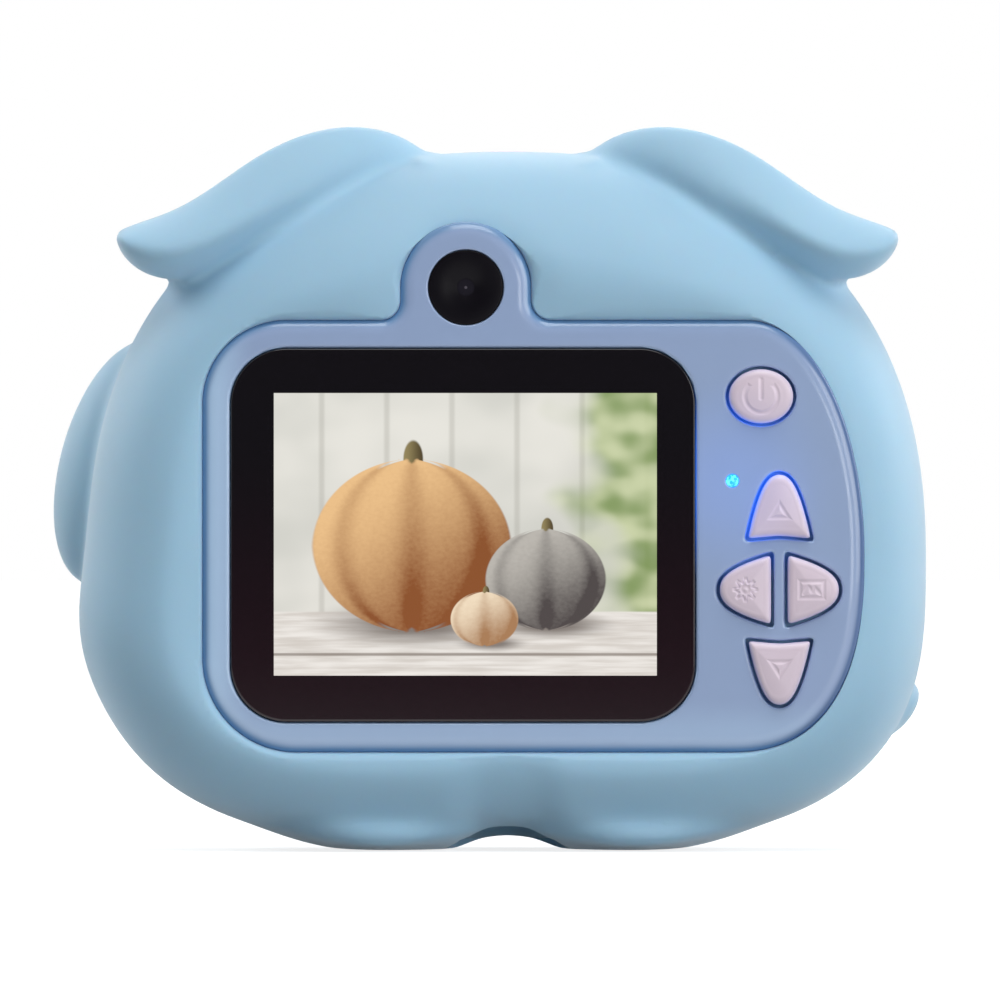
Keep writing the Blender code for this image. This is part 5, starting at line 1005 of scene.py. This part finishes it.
def level_surface(field, low, high, pitch):
    """The surface on which a field is nought, as points and quads: one point in each cell of a grid that it
    crosses, at the mean of the crossings on the cell's edges, and one quad round each crossed edge."""
    axes = [np.arange(start, end + pitch, pitch) for start, end in zip(low, high)]
    value = field(axes[0][:, None, None], axes[1][None, :, None], axes[2][None, None, :])
    cells = np.array(value.shape)
    total = np.zeros((cells.prod(), 4))
    quads = []
    for axis in range(3):
        here = np.delete(value, -1, axis)
        there = np.delete(value, 0, axis)
        place = np.argwhere((here < 0) != (there < 0))
        first, second = here[tuple(place.T)], there[tuple(place.T)]
        crossing = place.astype(float)
        crossing[:, axis] += first / (first - second)
        one, other = np.eye(3, dtype=int)[(axis + 1) % 3], np.eye(3, dtype=int)[(axis + 2) % 3]
        around = [place, place - one, place - one - other, place - other]
        index = np.stack([np.ravel_multi_index(cell.T, cells) for cell in around], axis=1)
        entry = np.column_stack([crossing, np.ones(len(crossing))])
        for corner in index.T:
            for part in range(4):
                total[:, part] += np.bincount(corner, entry[:, part], len(total))
        quads.append(np.where((first < 0)[:, None], index, index[:, ::-1]))
    used = total[:, 3] > 0
    number = np.cumsum(used) - 1
    points = np.array(low) + pitch * total[used, :3] / total[used, 3:]
    return points, number[np.vstack(quads)]


def settled(points, quads, field, rounds, probe=0.02, longest=0.3):
    """Points drawn towards the mean of their neighbours and then moved back onto the surface, along the
    slope of the field, several times over."""
    pairs = np.vstack([quads[:, [side, (side + 1) % 4]] for side in range(4)])
    count = np.bincount(pairs[:, 0], minlength=len(points))[:, None]
    for _ in range(rounds):
        mean = [np.bincount(pairs[:, 0], points[pairs[:, 1], axis], len(points)) for axis in range(3)]
        points = 0.5 * points + 0.5 * np.stack(mean, axis=1) / count
        value = field(*points.T)
        slope = np.stack([(field(*(points + probe * unit).T) - value) / probe for unit in np.eye(3)], axis=1)
        step = value[:, None] * slope / np.maximum((slope**2).sum(axis=1, keepdims=True), 0.05)
        points = points - np.clip(step, -longest, longest)
    return points


corner_low, corner_high = (-50.0, -17.5, -1.5), (47.0, 26.0, 80.0)
sleeve_points, sleeve_quads = level_surface(sleeve_field, corner_low, corner_high, SLEEVE_PITCH)
sleeve_points = settled(sleeve_points, sleeve_quads, sleeve_field, 3)
silicone_blue = moulded(
    "silicone_blue", tone(164, 206, 232), 0.58, 0.22, 0.006, 0.04,
    Subsurface_Weight=0.12, Subsurface_Scale=0.002, Sheen_Weight=0.45, Sheen_Roughness=0.45, IOR=1.41,
)
sleeve = piece("sleeve", [(sleeve_points, [sleeve_quads])], silicone_blue, ["silicone_sleeve"])

CASE_INSET, CASE_EDGE, HOLLOW_REAR, HOLLOW_FRONT = 4.3, 4.0, -12.9, 12.6
turn = np.arange(120) * 2 * math.pi / 120
across, up = np.cos(turn), np.sin(turn)
lean = np.radians([90, 60, 30, 0])
inset = CASE_INSET + CASE_EDGE * (1 - np.cos(lean))
drop = CASE_EDGE * (1 - np.sin(lean))
inset = np.concatenate([inset, inset[::-1]])
depth = np.concatenate([HOLLOW_REAR + drop, (HOLLOW_FRONT - drop)[::-1]])
radius = egg_reach(across, up, inset[:, None])
depth = np.broadcast_to(depth[:, None], radius.shape)
hollow_rows = np.stack([radius * across, depth, BODY_WIDEST + radius * up], axis=-1)

SOUND_HOLE_RADIUS, SOUND_CIRCLE, SOUND_START, SOUND_END = 0.8, 3.6, 11.5, 20.0
SPEAKER = node_centre("speaker")
sound_profile = [(SOUND_HOLE_RADIUS, SOUND_START), (SOUND_HOLE_RADIUS, SOUND_END)]
sound_places = [SPEAKER, *oval(SPEAKER, SOUND_CIRCLE, SOUND_CIRCLE, 6)]
LIP_FLARE = [(0.05, -14.2), (0.2, -14.55), (0.45, -14.82), (0.8, -15.02), (1.2, -15.17), (1.6, -15.3)]
panel_cut = [(0.0, -11.5), (0.0, -13.9), *LIP_FLARE, (2.2, -15.48), (2.2, -19.0)]
LENS_HOLE_RADIUS = 9.7
lens_cut = [(0.0, 12.0), (0.0, 23.2), (0.1, 23.5), (0.35, 23.8), (0.9, 24.1), (2.0, 24.4), (2.0, 27.0)]
lens_cut = [(LENS_HOLE_RADIUS + out, depth) for out, depth in lens_cut]
SHUTTER_GAP = 0.3
shutter_hole = oval(shutter_centre, SHUTTER_HALF_WIDTH + SHUTTER_GAP, SHUTTER_HALF_DEPTH + SHUTTER_GAP, 120)
shutter_cut = [(0.0, 66.0), (0.0, 74.0), (0.12, 74.5), (0.4, 74.85), (1.0, 75.15), (1.0, 78.0)]
PLUG_HALF_WIDTH, PLUG_HALF_DEPTH, PLUG_TOP, PLUG_RADIUS = 5.5, 3.3, 8.3, 3.29
usb_low, usb_high = node_box("usb_socket")
plug_centre = np.array([0, (usb_low[1] + usb_high[1]) / 2])
plug_half = (PLUG_HALF_WIDTH, PLUG_HALF_DEPTH)
plug_hole = even(rounded_box(plug_centre - plug_half, plug_centre + plug_half, PLUG_RADIUS), OPENING_STEP)
plug_cut = [(0.0, PLUG_TOP), (0.0, 2.2), (0.15, 1.8), (0.5, 1.4), (1.0, 1.2), (1.0, -3.0)]
upright = [swept(shutter_hole, shutter_cut)[..., [0, 2, 1]], swept(plug_hole, plug_cut)[..., [0, 2, 1]]]
cutters = [hollow_rows, swept(opening_outline, panel_cut), turned(LENS, lens_cut, 160), *upright]
cutters += [turned(place, sound_profile, 24) for place in sound_places]
cutter = piece("cutter", [solid(rows) for rows in cutters], silicone_blue)
cut = sleeve.modifiers.new("hollow", "BOOLEAN")
cut.operation = "DIFFERENCE"
cut.solver = "MANIFOLD"
cut.object = cutter
hollowed = bpy.data.meshes.new_from_object(sleeve.evaluated_get(bpy.context.evaluated_depsgraph_get()))
sleeve.modifiers.clear()
sleeve.data = hollowed
bpy.data.objects.remove(cutter)
hollowed.shade_smooth()
hollowed.set_sharp_from_angle(angle=math.radians(50))


# Floor and light
# A pale studio floor under a wide soft lamp from above, with one low at the right, three from behind that
# draw the edges and a small one in front. The surround is white where it is seen, dark where the viewer's
# side is mirrored, and dim as a light.

FLOOR_REACH, FLOOR_DROP = 5.0, 0.00005
floor_data = bpy.data.meshes.new("floor")
corners = np.array([(-1, -1, 0), (1, -1, 0), (1, 1, 0), (-1, 1, 0)]) * FLOOR_REACH
floor_data.from_pydata(corners - (0, 0, FLOOR_DROP), [], [(0, 1, 2, 3)])
floor = bpy.data.objects.new("floor", floor_data)
bpy.context.scene.collection.objects.link(floor)


def sight(tree):
    """Whether a ray comes from the viewer straight, by gloss or through something, and whether straight."""
    path = tree.nodes.new("ShaderNodeLightPath").outputs
    by_way = calc("MAXIMUM", path["Is Glossy Ray"], path["Is Transmission Ray"])
    return calc("MAXIMUM", path["Is Camera Ray"], by_way), path["Is Camera Ray"]


floor_white = bpy.data.materials.new("floor_white")
floor_white.use_nodes = True
tree = floor_white.node_tree
tree.nodes.clear()
seen, straight = sight(tree)
place = place_on(tree)
paper = mixed(noise(place, 40.0, 4.0), (0.42, 0.42, 0.42, 1.0), (0.45, 0.45, 0.45, 1.0))
matte = add_node("BsdfDiffuse", {"Color": paper})[0]
ahead = eased(parted(place)["Y"], -0.6, -0.12, 0.02, 0.85)
away = add_node("VectorMath", {0: place}, operation="LENGTH")["Value"]
bright = mixed(straight, ahead, eased(away, 0.08, 0.4, 0.8, 1.0))
white = add_node("Emission", {"Strength": calc("MULTIPLY", seen, bright)})[0]
both = add_node("AddShader", {0: matte, 1: white})[0]
add_node("OutputMaterial", {"Surface": both})
floor_data.materials.append(floor_white)

world = bpy.data.worlds.new("studio")
bpy.context.scene.world = world
world.use_nodes = True
tree = world.node_tree
tree.nodes.clear()
seen, straight = sight(tree)
_, toward_y, toward_z = parted(tree.nodes.new("ShaderNodeTexCoord").outputs["Generated"])
ambient = eased(toward_z, -0.1, 0.9, 0.1, 0.26)
shown = calc("MAXIMUM", straight, eased(toward_y, -0.97, -0.35, 0.08, 1.0))
light = add_node("Background", {"Strength": ambient})[0]
white = add_node("Background", {"Color": (1, 1, 1, 1), "Strength": shown})[0]
sky = add_node("MixShader", {0: seen, 1: light, 2: white})[0]
add_node("OutputWorld", {"Surface": sky})

LAMP_TARGET = Vector((0.0, 0.0, 0.04))


def lamp(name, place, size, power):
    """A square soft lamp at a place in metres, turned to the middle of the camera."""
    data = bpy.data.lights.new(name, "AREA")
    data.size = size
    data.energy = power
    made = bpy.data.objects.new(name, data)
    made.location = place
    made.rotation_euler = (LAMP_TARGET - Vector(place)).to_track_quat("-Z", "Y").to_euler()
    bpy.context.scene.collection.objects.link(made)


lamp("top_lamp", (0.08, -0.42, 0.92), 0.6, 5.2)
lamp("right_lamp", (0.75, -0.65, 0.24), 0.5, 3.2)
lamp("left_rim", (-0.85, 0.45, 0.58), 0.5, 4.6)
lamp("right_rim", (0.85, 0.5, 0.35), 0.5, 3.4)
lamp("back_lamp", (0.0, 0.6, 0.8), 0.6, 2.2)
lamp("front_lamp", (0.3, -1.0, 0.06), 0.2, 0.7)


# Camera
# Straight in front of the screen, a little above the middle of the picture, from one and a half metres.
# The lens makes one millimetre on the panel cover as many thousandths of the frame as the scale says.

VIEW_OFFSET, VIEW_LEVEL, VIEW_DISTANCE = -0.807, 37.555, 1500.0
VIEW_SCALE = 9.387
view = bpy.data.cameras.new("view")
view.sensor_width = 36.0
view.lens = view.sensor_width * VIEW_SCALE * VIEW_DISTANCE / 1000
view.clip_end = 20.0
camera = bpy.data.objects.new("view", view)
camera.location = np.array([VIEW_OFFSET, PANEL_FACE + SKIN - VIEW_DISTANCE, VIEW_LEVEL]) * MM + AXIS
camera.rotation_euler = (math.radians(90), 0, 0)
bpy.context.scene.collection.objects.link(camera)
bpy.context.scene.camera = camera
bpy.context.scene.view_settings.view_transform = "Standard"
